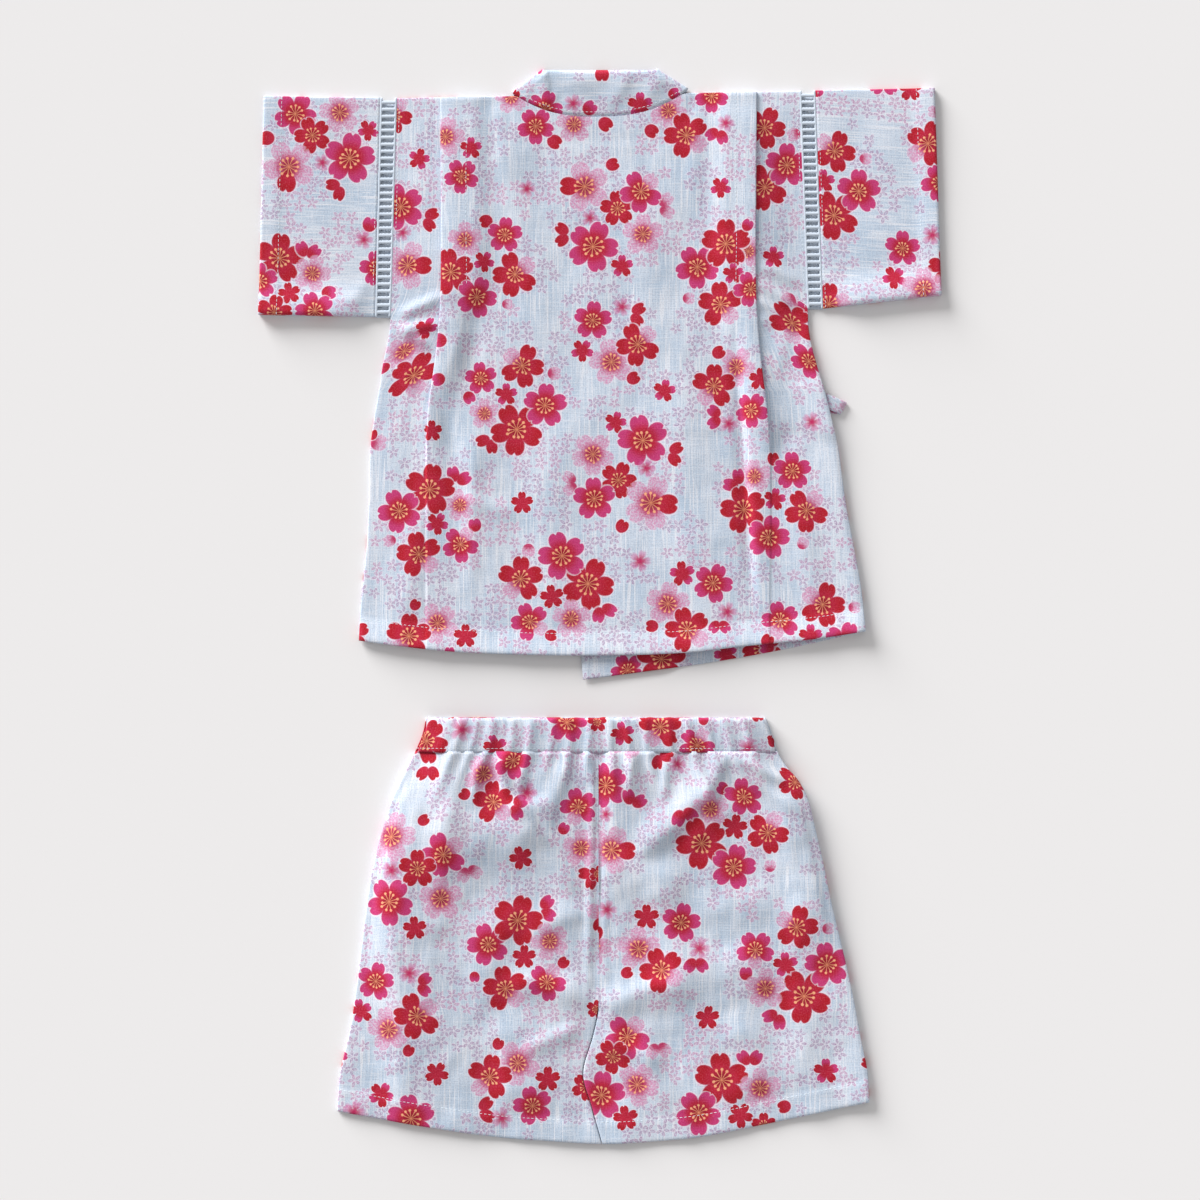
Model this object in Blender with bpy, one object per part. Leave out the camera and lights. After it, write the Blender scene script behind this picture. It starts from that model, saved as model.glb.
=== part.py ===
"""A toddler's jinbei set, laid face down: a wrap top with shoulder tucks, ladder lace at the armholes and
side ties, and shorts with a gathered waistband below it. +Y runs towards the collar, and +Z is up from the
surface that the set lies on. Tables and sizes are in millimetres, which MM turns into Blender's metres."""

import math
from collections import namedtuple

import bmesh
import bpy
from mathutils import Vector

MM = 0.001

# Walls, and heights of their middles above the surface.
CLOTH = 1.0  # a single cloth
BAND = 1.4  # the collar, a cloth folded double
CASING = 1.6  # the waistband, two cloths and the elastic
SEAM = 0.3  # space between two pieces at a seam
TURN = 1.2  # radius at which a cloth turns over at a side, shoulder or underarm
TURN_STEPS = 2  # facets of a quarter turn
LOWER = CLOTH / 2  # a cloth on the surface
MIDDLE = LOWER + TURN  # the seam along a turned edge
UPPER = LOWER + 2 * TURN  # the upper cloth beside a turned edge
SEAM_ANGLE = math.acos(SEAM / 2 / (TURN - CLOTH / 2))  # a turned edge stops this far round, short of its seam
BACK_RISE = 1.0  # the back lies this much higher over the crossed fronts
CROSSED_RISE = 1.7  # the right front lies this much higher on the left one
TIE_RISE = 1.4  # what lies on the ties is this much higher
SHORTS_RISE = 0.5

# Top.
HEM = -34.5
SHOULDER = 358.0
SHOULDER_SLOPE = 0.0176  # the top lies a little askew
NECK_HALF = 57.5
NECK_CORNER = 60.8  # the shoulder starts this far from the middle
NECK_DIP = 15.0
NECK_PLACES = [-NECK_HALF, -48, -36, -18, 0, 18, 36, 48, NECK_HALF]  # the collar's and the back's points meet here
UNDERARM = 203.0
BODY_HEIGHTS = [HEM, -16, 6, 32, 62, 92, 112, 126, 136, 144, 151, 164, 182, 194, 201, 225, 258, 292, 325, SHOULDER]
HEM_FADE = 70.0  # rows below this bend along with the hem
SHOULDER_FADE = 240.0  # and rows above this with the shoulders and the neck
FRONT_HEM_RISE = 4.0  # the left front's hem stays this far inside the back's
FrontEdge = namedtuple("FrontEdge", "hem_across across collar_end collar_free_end")
FRONT_EDGES = {-1: FrontEdge(31.5, 31.5, 151.0, 237.0), 1: FrontEdge(-12.0, -29.0, 151.0, 237.0)}
COLLAR_FREE_HALF = 38.5  # the collar's free edge turns over this far from the middle
COLLAR_TOP = 374.2
COLLAR_TURN = 1.6
TIE_WIDTH = 9.0
TIE_MIDDLES = {-1: 131.5, 1: 143.5}  # heights of the tie on the left front's edge and of the one on the right side
TIE_REACH = 171.3  # the right tie turns under here, past the side seam
TIE_ENDS = {-1: 142.0, 1: 62.0}

BodySide = namedtuple("BodySide", "height left right")
BODY_SIDES = [
    BodySide(-34.5, -169.0, 186.0),
    BodySide(0, -167.0, 183.0),
    BodySide(40, -163.5, 177.5),
    BodySide(80, -161.8, 171.0),
    BodySide(110, -161.0, 167.0),
    BodySide(130, -158.5, 162.5),
    BodySide(150, -155.0, 157.5),
    BodySide(170, -152.0, 151.5),
    BodySide(186, -148.5, 147.5),
    BodySide(203, -146.5, 145.5),
    BodySide(280, -144.2, 142.5),
    BodySide(362, -141.9, 139.5),
]

HemPoint = namedtuple("HemPoint", "across height")
BACK_HEM = [
    HemPoint(-169, -24),
    HemPoint(-140, -28),
    HemPoint(-100, -32),
    HemPoint(-50, -34),
    HemPoint(0, -34.5),
    HemPoint(60, -32.5),
    HemPoint(100, -28),
    HemPoint(150, -23),
    HemPoint(186, -17.5),
]
RIGHT_FRONT_HEM = [
    HemPoint(-12, -51.5),
    HemPoint(30, -46),
    HemPoint(80, -39),
    HemPoint(130, -30),
    HemPoint(186, -17.5),
]

# A shoulder tuck: its folded edge faces the armhole, and its overhang is how far that edge lies past the
# stitching. Further down it opens: its cloth turns back by fewer degrees, into a step and then a low ridge.
Tuck = namedtuple("Tuck", "height turn left_edge left_overhang right_edge right_overhang")
TUCKS = [
    Tuck(-60, 18, -118, 0, 105, 0),
    Tuck(60, 20, -117, 0, 104, 0),
    Tuck(112, 25, -114, 0, 103, 0),
    Tuck(126, 60, -112, 0, 103, 0),
    Tuck(136, 105, -111, 0, 103, 0),
    Tuck(144, 150, -110.5, 0, 103.5, 0),
    Tuck(151, 180, -110, 1, 104, 1),
    Tuck(164, 180, -109.5, 6, 105, 6),
    Tuck(225, 180, -110, 17, 108, 14),
    Tuck(362, 180, -111.3, 17, 109.2, 14),
]
TUCK_TURN = 0.66  # radius of a tuck's folds
TUCK_EASE = 22.0  # the raised cloth beside a tuck sinks back over this width

# Armholes, sleeves and their lace.
Armhole = namedtuple("Armhole", "top bottom lace_top lace_bottom")
ARMHOLES = {-1: Armhole(355.6, 201.8, -153.4, -157.0), 1: Armhole(360.6, 207.6, 150.4, 155.8)}
Cuff = namedtuple("Cuff", "top_across top bottom_across bottom")
CUFFS = {-1: Cuff(-235.2, 356.8, -238.7, 203.2), 1: Cuff(233.8, 362.4, 238.7, 216.8)}
LACE_HOLES = 31
LACE_RAIL = 1.5
LACE_HOLE_SHARE = 0.56  # of each repeat along the lace

# Shorts.
WAIST_TOP = -77.9
CASING_BOTTOM = -102.0
CASING_TURN = 1.45
WAIST_SEAM = 0.9  # the slanting sides of the waistband and the legs need more space between them
CROTCH = -279.0
SHORTS_HEM = -376.0
ShortsSide = namedtuple("ShortsSide", "height left right")
SHORTS_SIDES = [
    ShortsSide(-376, -184.0, 188.6),
    ShortsSide(-346, -182.5, 187.3),
    ShortsSide(-318, -179.0, 184.5),
    ShortsSide(-290, -174.0, 180.5),
    ShortsSide(-262, -170.0, 175.0),
    ShortsSide(-234, -166.5, 168.5),
    ShortsSide(-206, -163.0, 161.8),
    ShortsSide(-180, -158.5, 156.5),
    ShortsSide(-150, -150.5, 149.5),
    ShortsSide(-136, -146.0, 146.0),
    ShortsSide(-122, -139.5, 139.0),
    ShortsSide(-112, -134.5, 130.5),
    ShortsSide(-102, -129.5, 124.5),
    ShortsSide(-90, -124.5, 120.8),
    ShortsSide(-77, -121.5, 115.5),
]
SHORTS_HEMLINE = [
    HemPoint(-184, -353),
    HemPoint(-158, -357.7),
    HemPoint(-122, -364),
    HemPoint(-70, -371.5),
    HemPoint(-35, -374),
    HemPoint(0, -376),
    HemPoint(35, -374.5),
    HemPoint(70, -371),
    HemPoint(119, -361.5),
    HemPoint(163, -352),
    HemPoint(188, -346.5),
]
InnerPoint = namedtuple("InnerPoint", "height across")
INNER_LINE = [
    InnerPoint(-376, 1.4),
    InnerPoint(-350, -6),
    InnerPoint(-327, -12),
    InnerPoint(-300, -5),
    InnerPoint(-279, -1),
    InnerPoint(-200, -1),
    InnerPoint(-77, -1),
]

# Gathers that the elastic pulls in, across the waistband's upper side. Reach is how far one runs down.
Gather = namedtuple("Gather", "across width height reach")
GATHERS = [
    Gather(-104, 3.6, 1.2, 50),
    Gather(-92, 3.0, 0.8, 26),
    Gather(-80, 3.6, 1.1, 34),
    Gather(-65, 3.4, 1.0, 24),
    Gather(-51, 3.4, 1.2, 46),
    Gather(-36, 3.0, 0.8, 20),
    Gather(-22, 3.4, 1.0, 32),
    Gather(-9, 3.0, 1.1, 28),
    Gather(8, 3.2, 1.2, 30),
    Gather(20, 3.0, 0.9, 22),
    Gather(34, 3.4, 1.1, 40),
    Gather(50, 3.2, 1.0, 26),
    Gather(65, 3.6, 1.3, 52),
    Gather(79, 3.2, 1.0, 24),
    Gather(93, 3.4, 1.1, 36),
    Gather(107, 3.0, 0.9, 22),
]

# The largest folds, each a ridge between two points. Width is to either side.
Fold = namedtuple("Fold", "x0 y0 x1 y1 width height")
FOLDS_END = (150, 190)  # heights over which the top's folds fade
TOP_FOLDS = [
    Fold(-112, 150, -121, 90, 8, 1.1),
    Fold(-96, 120, -70, 20, 13, 1.0),
    Fold(109, 160, 120, 80, 9, 1.2),
    Fold(60, 160, 66, -10, 16, 0.8),
    Fold(-30, 120, -34, -20, 18, 0.7),
    Fold(138, 90, 152, -5, 13, 0.8),
]
SHORTS_FOLDS = [
    Fold(-100, -120, -112, -190, 10, 1.3),
    Fold(-62, -118, -44, -165, 8, 1.4),
    Fold(-44, -165, -20, -200, 9, 1.2),
    Fold(66, -128, 40, -156, 8, 1.4),
    Fold(100, -122, 124, -150, 9, 1.3),
    Fold(38, -170, 60, -250, 13, 1.1),
    Fold(-60, -205, -84, -330, 16, 1.2),
    Fold(96, -215, 104, -330, 17, 1.2),
    Fold(-14, -272, -60, -262, 8, 1.1),
    Fold(14, -276, 78, -268, 9, 1.2),
]


def mix(a, b, share):
    return a + (b - a) * share


def smooth(start, end, at):
    """0 at start and 1 at end, with a soft turn at each."""
    share = min(1.0, max(0.0, (at - start) / (end - start)))
    return share * share * (3 - 2 * share)


def steps(start, end, count):
    """count + 1 places, evenly spaced from start to end."""
    return [mix(start, end, n / count) for n in range(count + 1)]


def read(rows, key, value, at):
    """A table's value at a place on its rising key column, on a smooth curve through the rows."""
    keys = [getattr(row, key) for row in rows]
    values = [getattr(row, value) for row in rows]
    at = min(keys[-1], max(keys[0], at))
    i = max(n for n in range(len(keys) - 1) if keys[n] <= at)
    span = keys[i + 1] - keys[i]
    slopes = []
    for n in (i, i + 1):
        before, after = max(0, n - 1), min(len(keys) - 1, n + 1)
        slopes.append(span * (values[after] - values[before]) / (keys[after] - keys[before]))
    t = (at - keys[i]) / span
    ends = values[i] * (2 * t**3 - 3 * t**2 + 1) + values[i + 1] * (3 * t**2 - 2 * t**3)
    return ends + slopes[0] * (t**3 - 2 * t**2 + t) + slopes[1] * (t**3 - t**2)


def folds_at(folds, x, y):
    """How much the folds lift the cloth at a point."""
    lift = 0.0
    for fold in folds:
        run = Vector((fold.x1 - fold.x0, fold.y1 - fold.y0))
        place = Vector((x - fold.x0, y - fold.y0))
        share = place.dot(run) / run.length_squared
        aside = abs(place.x * run.y - place.y * run.x) / run.length
        taper = smooth(-0.25, 0.25, share) * (1 - smooth(0.7, 1.3, share))
        lift += fold.height * taper * math.exp(-((aside / fold.width) ** 2))
    return lift


# ---- Solids ----

Finish = namedtuple("Finish", "name colour roughness")
PRINTED = Finish("printed slub cotton", (0.62, 0.75, 0.84), 0.85)
LACE = Finish("cotton ladder lace", (0.86, 0.90, 0.92), 0.8)


def new_object(name, bm, finish):
    mesh = bpy.data.meshes.new(name)
    bm.to_mesh(mesh)
    bm.free()
    mesh.shade_smooth()
    mesh.set_sharp_from_angle(angle=math.radians(50))
    material = bpy.data.materials.get(finish.name)
    if material is None:
        material = bpy.data.materials.new(finish.name)
        material.use_nodes = True
        shader = material.node_tree.nodes["Principled BSDF"]
        shader.inputs["Base Color"].default_value = (*finish.colour, 1)
        shader.inputs["Roughness"].default_value = finish.roughness
        shader.inputs["Metallic"].default_value = 0
    mesh.materials.append(material)
    bpy.context.scene.collection.objects.link(bpy.data.objects.new(name, mesh))


def direction(points, n, ring=False):
    """Which way a line of points runs at one of them."""
    count = len(points)
    if ring or 0 < n < count - 1:
        return points[(n + 1) % count] - points[n - 1]
    a, b, c = points[:3] if n == 0 else points[: -4 : -1]
    near, far = (b - a).normalized(), (c - b).normalized()
    bend = (b - a).length / ((b - a).length + (c - b).length)
    onward = near + (near - far) * bend
    return onward if n == 0 else -onward


def grid_normals(rows, ring):
    """A unit normal at each point of a grid."""
    columns = list(zip(*rows))
    normals = []
    for i, row in enumerate(rows):
        line = [direction(row, j, ring).cross(direction(columns[j], i)).normalized() for j in range(len(row))]
        normals.append(line)
    return normals


def wall(name, rows, thickness, finish=PRINTED, ring=False, is_hole=None):
    """One closed wall round a grid of middle points in millimetres. ring joins each row's two ends, and
    is_hole(i, j) is true for a cell that is cut out."""
    rows = [[Vector(point) for point in row] for row in rows]
    normals = grid_normals(rows, ring)
    bm = bmesh.new()
    upper, lower = [
        [
            [bm.verts.new((point + normal * thickness * half) * MM) for point, normal in zip(row, line)]
            for row, line in zip(rows, normals)
        ]
        for half in (0.5, -0.5)
    ]
    count = len(rows[0])
    width = count if ring else count - 1
    there = {(i, j) for i in range(len(rows) - 1) for j in range(width) if not (is_hole and is_hole(i, j))}
    for i, j in sorted(there):
        k = (j + 1) % count
        corners = [(i, j), (i, k), (i + 1, k), (i + 1, j)]
        bm.faces.new([upper[a][b] for a, b in corners])
        bm.faces.new([lower[a][b] for a, b in reversed(corners)])
        left, right = j - 1, j + 1
        if ring:
            left, right = left % width, right % width
        neighbours = [(i - 1, j), (i, right), (i + 1, j), (i, left)]
        for side, neighbour in enumerate(neighbours):
            if neighbour not in there:
                (a, b), (c, d) = corners[side], corners[(side + 1) % 4]
                bm.faces.new([upper[c][d], upper[a][b], lower[a][b], lower[c][d]])
    loose = [vert for vert in bm.verts if not vert.link_faces]
    bmesh.ops.delete(bm, geom=loose, context="VERTS")
    bmesh.ops.recalc_face_normals(bm, faces=bm.faces)
    new_object(name, bm, finish)


# ---- Edges ----


def turned(n, rolled, radius=TURN):
    """How far on and how much lower a cloth's end lies, n steps along its turn. rolled is 1 for an edge that
    turns a quarter to meet the other layer at a seam, and 0 for one that stays flat."""
    angle = rolled * SEAM_ANGLE * n / TURN_STEPS
    return mix(TURN * n / TURN_STEPS, radius * math.sin(angle), rolled), radius * (1 - math.cos(angle))


def turn_start(edge, toward, rolled):
    """Where a cloth starts to turn, so that it ends at edge. toward is 1 or -1."""
    return edge - toward * (TURN + SEAM / 2 + rolled * CLOTH / 2)


def side_end(point, toward, up, rolled):
    """The points past one where a cloth starts to turn, across it. up is 1 for an upper cloth."""
    x, y, z = point
    ends = []
    for n in range(1, TURN_STEPS + 1):
        out, drop = turned(n, rolled)
        ends.append((x + toward * out, y, z - up * drop))
    return ends


def fold_over(start, y, toward, radius, middle):
    """The points of a half turn at a side, from the lower cloth to the upper one, without its two ends."""
    angles = steps(-math.pi / 2, math.pi / 2, 2 * TURN_STEPS)[1:-1]
    return [(start + toward * radius * math.cos(a), y, middle + radius * math.sin(a)) for a in angles]


# ---- Top ----


def body_side(y, side):
    return read(BODY_SIDES, "height", "left" if side < 0 else "right", y)


def side_rolled(y):
    """1 along the side seams, and 0 along the armholes."""
    return 1 - smooth(UNDERARM - 9, UNDERARM - 2, y)


def shoulder(x):
    return SHOULDER + SHOULDER_SLOPE * x


def neckline(x):
    share = min(1.0, abs(x) / NECK_HALF)
    return shoulder(x) - NECK_DIP * (1 - share**2.6) - 0.9


def is_neck(x):
    return abs(x) < (NECK_HALF + NECK_CORNER) / 2


def front_edge(y, side):
    """The front's opening edge, and above it the line along which the collar is sewn on."""
    edge = FRONT_EDGES[side]
    if y <= edge.collar_end:
        return mix(edge.across, edge.hem_across, max(0.0, (edge.collar_end - y) / (edge.collar_end - HEM)))
    return mix(edge.across, side * NECK_CORNER, (y - edge.collar_end) / (SHOULDER - edge.collar_end))


def crossed(x, y):
    """1 on the left front and its collar, falling to 0 beside them."""
    edge = FRONT_EDGES[-1]
    slope = (COLLAR_TOP - edge.collar_free_end) / (COLLAR_FREE_HALF + edge.across)
    free = COLLAR_TOP - (x + COLLAR_FREE_HALF) * slope
    beyond = max(x - edge.across, (y - free) / math.hypot(1, slope))
    return 1 - smooth(9, 30, beyond)


def tie_lift(x, y):
    """How much the ties lift what lies on them."""
    low, high = (TIE_MIDDLES[side] + side * TIE_WIDTH / 2 for side in (-1, 1))
    return TIE_RISE * smooth(20, 31, x) * smooth(low - 16, low - 3, y) * (1 - smooth(high + 3, high + 16, y))


def right_front_rise(x, y):
    return max(CROSSED_RISE * crossed(x, y), tie_lift(x, y))


def back_height(x, y):
    top = neckline(x) if is_neck(x) else shoulder(x)
    inside = min(x - body_side(y, -1), body_side(y, 1) - x, top - y)
    neck = smooth(NECK_CORNER + 6, NECK_HALF, abs(x)) * smooth(SHOULDER - 60, SHOULDER - 20, y)
    return UPPER + max(BACK_RISE * max(smooth(2, 24, inside), neck), tie_lift(x, y))


def tuck_points(edge, overhang, turn, outward):
    """A tuck's section as (x, lift) from the middle of the back outwards: over to its folded edge, back
    under to the stitching and out again."""
    r = TUCK_TURN
    height = 4 * r * min(1, turn / math.radians(90))
    length = overhang if turn > math.radians(179) else (height - 2 * r * (1 - math.cos(turn))) / math.sin(turn)
    fold = -2 * r * math.sin(turn) - length * math.cos(turn)
    half, full = [(r * math.sin(a), r - r * math.cos(a)) for a in (turn / 2, turn)]
    points = [(-TUCK_EASE, 0), (min(0, fold) - 3, height), (fold, height)]
    points += [(fold + out, height - drop) for out, drop in (half, full)]
    points += [(-out, drop) for out, drop in (full, half)] + [(0, 0)]
    return [(edge + outward * (across - fold - r), lift) for across, lift in points]


def back_section(y):
    """The back's section at a height, as (x, lift) from where one side starts to turn to the other."""
    tucks = {}
    turn = math.radians(read(TUCKS, "height", "turn", y))
    for side, label in ((-1, "left"), (1, "right")):
        edge, overhang = (read(TUCKS, "height", f"{label}_{column}", y) for column in ("edge", "overhang"))
        tucks[side] = tuck_points(edge, overhang, turn, side)
    starts = [turn_start(body_side(y, side), side, side_rolled(y)) for side in (-1, 1)]
    left, right = tucks[-1][::-1], tucks[1]
    middle = [-NECK_CORNER, *NECK_PLACES, NECK_CORNER]
    section = [(x, 0) for x in steps(starts[0], left[0][0], 4)[:3]]
    section += left + [(x, 0) for x in middle] + right
    section += [(x, 0) for x in steps(right[-1][0], starts[1], 4)[2:]]
    return section


def at_height(y, end, x, hem):
    """Where a panel's row lies at x: rows follow the hem below and the panel's end above."""
    to_hem = (read(hem, "across", "height", x) - HEM) * (1 - smooth(HEM, HEM_FADE, y))
    return y + to_hem + (end - SHOULDER) * smooth(SHOULDER_FADE, SHOULDER, y)


def shoulder_rows(row, up, is_flat):
    """The rows past a panel's last one, which turn over at the shoulder, or run on flat at the neck."""
    rows = []
    for n in range(1, TURN_STEPS + 1):
        line = []
        for x, y, z in row:
            out, drop = turned(n, 0 if is_flat(x) else 1, up * (z - MIDDLE))
            line.append((x, y + out, z - up * drop))
        rows.append(line)
    return rows


def back():
    rows = []
    for y in BODY_HEIGHTS:
        row = []
        for x, lift in back_section(y):
            end = turn_start(neckline(x) if is_neck(x) else shoulder(x), 1, 0 if is_neck(x) else 1)
            place = at_height(y, end, x, BACK_HEM)
            fold = folds_at(TOP_FOLDS, x, place) * (1 - smooth(*FOLDS_END, y))
            row.append((x, place, back_height(x, place) + lift + fold))
        left = side_end(row[0], -1, 1, side_rolled(y))
        right = side_end(row[-1], 1, 1, side_rolled(y))
        rows.append(left[::-1] + row + right)
    rows += shoulder_rows(rows[-1], 1, is_neck)
    wall("back", rows, CLOTH)


def front(name, side, hem, hem_rise):
    rows = []
    for y in BODY_HEIGHTS:
        start = turn_start(body_side(y, side), side, side_rolled(y))
        row = []
        for x in steps(front_edge(y, side) + side * SEAM / 2, start, 9):
            place = at_height(y, turn_start(shoulder(x), 1, 1), x, hem) + hem_rise * (1 - smooth(HEM, HEM_FADE, y))
            rise = right_front_rise(x, place) if side > 0 else 0
            row.append((x, place, LOWER + rise))
        rows.append(row + side_end(row[-1], side, -1, side_rolled(y)))
    rows += shoulder_rows(rows[-1], -1, lambda x: False)
    wall(name, rows, CLOTH)


def collar():
    """The collar band, from the left front's edge up round the neck and down the right front's edge. Each row
    runs across it, from its sewn edge to its free one."""
    across_steps = 3
    low, high = BAND / 2, BAND / 2 + 2 * COLLAR_TURN
    rows = []

    def add(sewn, free, height, out=(0, 0)):
        gap = (free - sewn).normalized() * SEAM / 2
        row = []
        for share in steps(0, 1, across_steps):
            place = (sewn + gap).lerp(free, share)
            row.append((place.x + out[0], place.y + out[1], height(place)))
        rows.append(row)

    def front_rows(side):
        edge = FRONT_EDGES[side]
        sewn_end, free_end = Vector((edge.across, edge.collar_end)), Vector((edge.across, edge.collar_free_end))
        for share in steps(0, 1, 10)[:-1]:
            yield sewn_end.lerp(corner(side), share), free_end.lerp(free_corner(side), share)

    def corner(side):
        return Vector((side * NECK_CORNER, shoulder(side * NECK_CORNER) + 1))

    def free_corner(side):
        return Vector((side * COLLAR_FREE_HALF, COLLAR_TOP))

    def turn(side):
        sewn, free = corner(side), free_corner(side)
        along = (free - sewn).normalized()
        outward = Vector((along.y * side, -along.x * side))
        angles = steps(-math.pi / 2, math.pi / 2, 2 * TURN_STEPS)
        for angle in angles if side < 0 else reversed(angles):
            height = (low + high) / 2 + COLLAR_TURN * math.sin(angle)
            add(sewn, free, lambda place: height, outward * COLLAR_TURN * math.cos(angle))

    def right_height(place):
        return low + CROSSED_RISE * crossed(place.x, place.y)

    for sewn, free in front_rows(-1):
        add(sewn, free, lambda place: low)
    turn(-1)
    for x in NECK_PLACES:
        sewn = Vector((x, neckline(x) + SEAM))
        share = (x + NECK_CORNER) / 2 / NECK_CORNER
        add(sewn, free_corner(-1).lerp(free_corner(1), share), lambda place: high)
    turn(1)
    for sewn, free in reversed(list(front_rows(1))):
        add(sewn, free, right_height)
    wall("collar", rows, BAND)


# ---- Sleeves and their lace ----


def lace_outer(y, side):
    hole = ARMHOLES[side]
    return mix(hole.lace_bottom, hole.lace_top, (y - hole.bottom) / (hole.top - hole.bottom))


def sleeve(name, side):
    """A sleeve, folded at the shoulder line and sewn along the underarm."""
    hole, cuff = ARMHOLES[side], CUFFS[side]
    rows = []
    for share in steps(0, 1, 6):
        bottom, top = mix(hole.bottom, cuff.bottom, share), mix(hole.top, cuff.top, share)
        start = turn_start(bottom, -1, 1)
        fold = top - TURN - CLOTH / 2
        ends = [turned(n, 1) for n in range(TURN_STEPS, 0, -1)]
        section = [(start - out, LOWER + drop) for out, drop in ends]
        section += [(y, LOWER) for y in steps(start, fold, 4)]
        angles = steps(-math.pi / 2, math.pi / 2, 2 * TURN_STEPS)[1:-1]
        section += [(fold + TURN * math.cos(a), MIDDLE + TURN * math.sin(a)) for a in angles]
        section += [(y, UPPER) for y in steps(fold, start, 6)]
        section += [(start - out, UPPER - drop) for out, drop in reversed(ends)]
        row = []
        for y, z in section:
            reach = (y - hole.bottom) / (hole.top - hole.bottom)
            inner = lace_outer(y, side) + side * SEAM / 2
            row.append((mix(inner, mix(cuff.bottom_across, cuff.top_across, reach), share), y, z))
        rows.append(row)
    wall(name, rows, CLOTH)


def lace(name, side, up):
    """Half of a sleeve's ladder lace, from the underarm to the shoulder, with its holes cut through."""
    hole = ARMHOLES[side]
    start, end = turn_start(hole.bottom, -1, 1), turn_start(hole.top, 1, 1)
    pitch = (end - start) / LACE_HOLES
    rung = pitch * (1 - LACE_HOLE_SHARE)
    height = UPPER if up > 0 else LOWER
    ends = [turned(n, 1) for n in range(TURN_STEPS, 0, -1)]
    section = [(start - out, height - up * drop) for out, drop in ends]
    for n in range(LACE_HOLES):
        hole_start = start + n * pitch + rung / 2
        section += [(hole_start, height), (hole_start + pitch - rung, height)]
    section += [(end + out, height - up * drop) for out, drop in reversed(ends)]
    rows = []
    for y, z in section:
        inner, outer = body_side(y, side) + side * SEAM / 2, lace_outer(y, side) - side * SEAM / 2
        rail = side * LACE_RAIL
        rows.append([(x, y, z) for x in (inner, inner + rail, outer - rail, outer)])

    def is_hole(i, j):
        step = i - TURN_STEPS
        return j == 1 and 0 <= step < 2 * LACE_HOLES and step % 2 == 0

    wall(name, rows, CLOTH, LACE, is_hole=is_hole)


# ---- Ties ----


def tie(name, route):
    """A flat tie along (x, y, z) places of its middle line."""
    half = TIE_WIDTH / 2
    wall(name, [[(x, y - half, z), (x, y, z), (x, y + half, z)] for x, y, z in route], CLOTH)


def ties():
    left_y, right_y = TIE_MIDDLES[-1], TIE_MIDDLES[1]
    left_start = FRONT_EDGES[-1].across + SEAM
    tie("tie_left", [(x, left_y, LOWER) for x in steps(left_start, TIE_ENDS[-1], 6)])
    seam = body_side(right_y - TIE_WIDTH / 2, 1) + SEAM
    seam_height = MIDDLE + TIE_RISE
    radius = 0.85
    bend = TIE_REACH - radius - CLOTH / 2
    route = [(seam, right_y, seam_height), (mix(seam, bend, 0.5), right_y, seam_height - 0.2)]
    route += [
        (bend + radius * math.cos(a), right_y, LOWER + radius + radius * math.sin(a))
        for a in steps(math.pi / 2, -math.pi / 2, 6)
    ]
    route += [(x, right_y, LOWER) for x in steps(bend, TIE_ENDS[1], 6)[1:]]
    tie("tie_right", route)


# ---- Shorts ----


def shorts_side(y, side):
    return read(SHORTS_SIDES, "height", "left" if side < 0 else "right", y)


def gathers_at(x, down):
    """How much the gathers lift the cloth at a place on the waistband, and how far below it they reach."""
    lift = 0.0
    for gather in GATHERS:
        wave = math.exp(-(((x - gather.across) / gather.width) ** 2))
        lift += gather.height * wave * (1 - smooth(0, gather.reach, down))
    return lift


def leg(name, side):
    """A leg cut in one piece, from the middle of the front under, round its side and back over."""
    line = read(INNER_LINE, "height", "across", CASING_BOTTOM)
    outer_top = shorts_side(CASING_BOTTOM, side)
    crests = sorted(abs(g.across - line) for g in GATHERS if (g.across - line) * side > 0)
    reach = abs(outer_top - line)
    shares = []
    for before, crest in zip([0] + crests, crests):
        shares += [(before + crest) / 2 / reach, crest / reach]
    top_end = CASING_BOTTOM - WAIST_SEAM
    rows = []
    for y in (SHORTS_HEM, -356, -330, -304, -286, -277, -256, -224, -192, -164, -142, -124, -111, top_end):
        rolled = 1 - smooth(CROTCH - 8, CROTCH + 3, y)
        inner = turn_start(read(INNER_LINE, "height", "across", y), -side, rolled)
        outer = shorts_side(y, side) - side * (TURN + CLOTH / 2)

        def placed(x, z=None):
            shift = (read(SHORTS_HEMLINE, "across", "height", x) - SHORTS_HEM) * (1 - smooth(SHORTS_HEM, -290, y))
            if z is None:
                inside = min(abs(x - inner), abs(outer - x))
                share = (x - inner) / (outer - inner)
                at_band = mix(line, outer_top, share)
                z = UPPER + SHORTS_RISE * smooth(0, 20, inside) + folds_at(SHORTS_FOLDS, x, y + shift)
                z += gathers_at(at_band, CASING_BOTTOM - y) * (1 - smooth(0.93, 1, share))
            return x, y + shift, z

        lower = [placed(x, LOWER) for x in steps(inner, outer, 6)]
        upper = [placed(inner)] + [placed(mix(inner, outer, share)) for share in shares] + [placed(outer)]
        upper[0] = placed(inner, upper[0][2])
        row = side_end(lower[0], -side, -1, rolled)[::-1] + lower
        row += fold_over(outer, lower[-1][1], side, TURN, MIDDLE)
        row += upper[::-1] + side_end(upper[0], -side, 1, rolled)
        rows.append(row)
    wall(name, rows, CLOTH)


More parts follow.
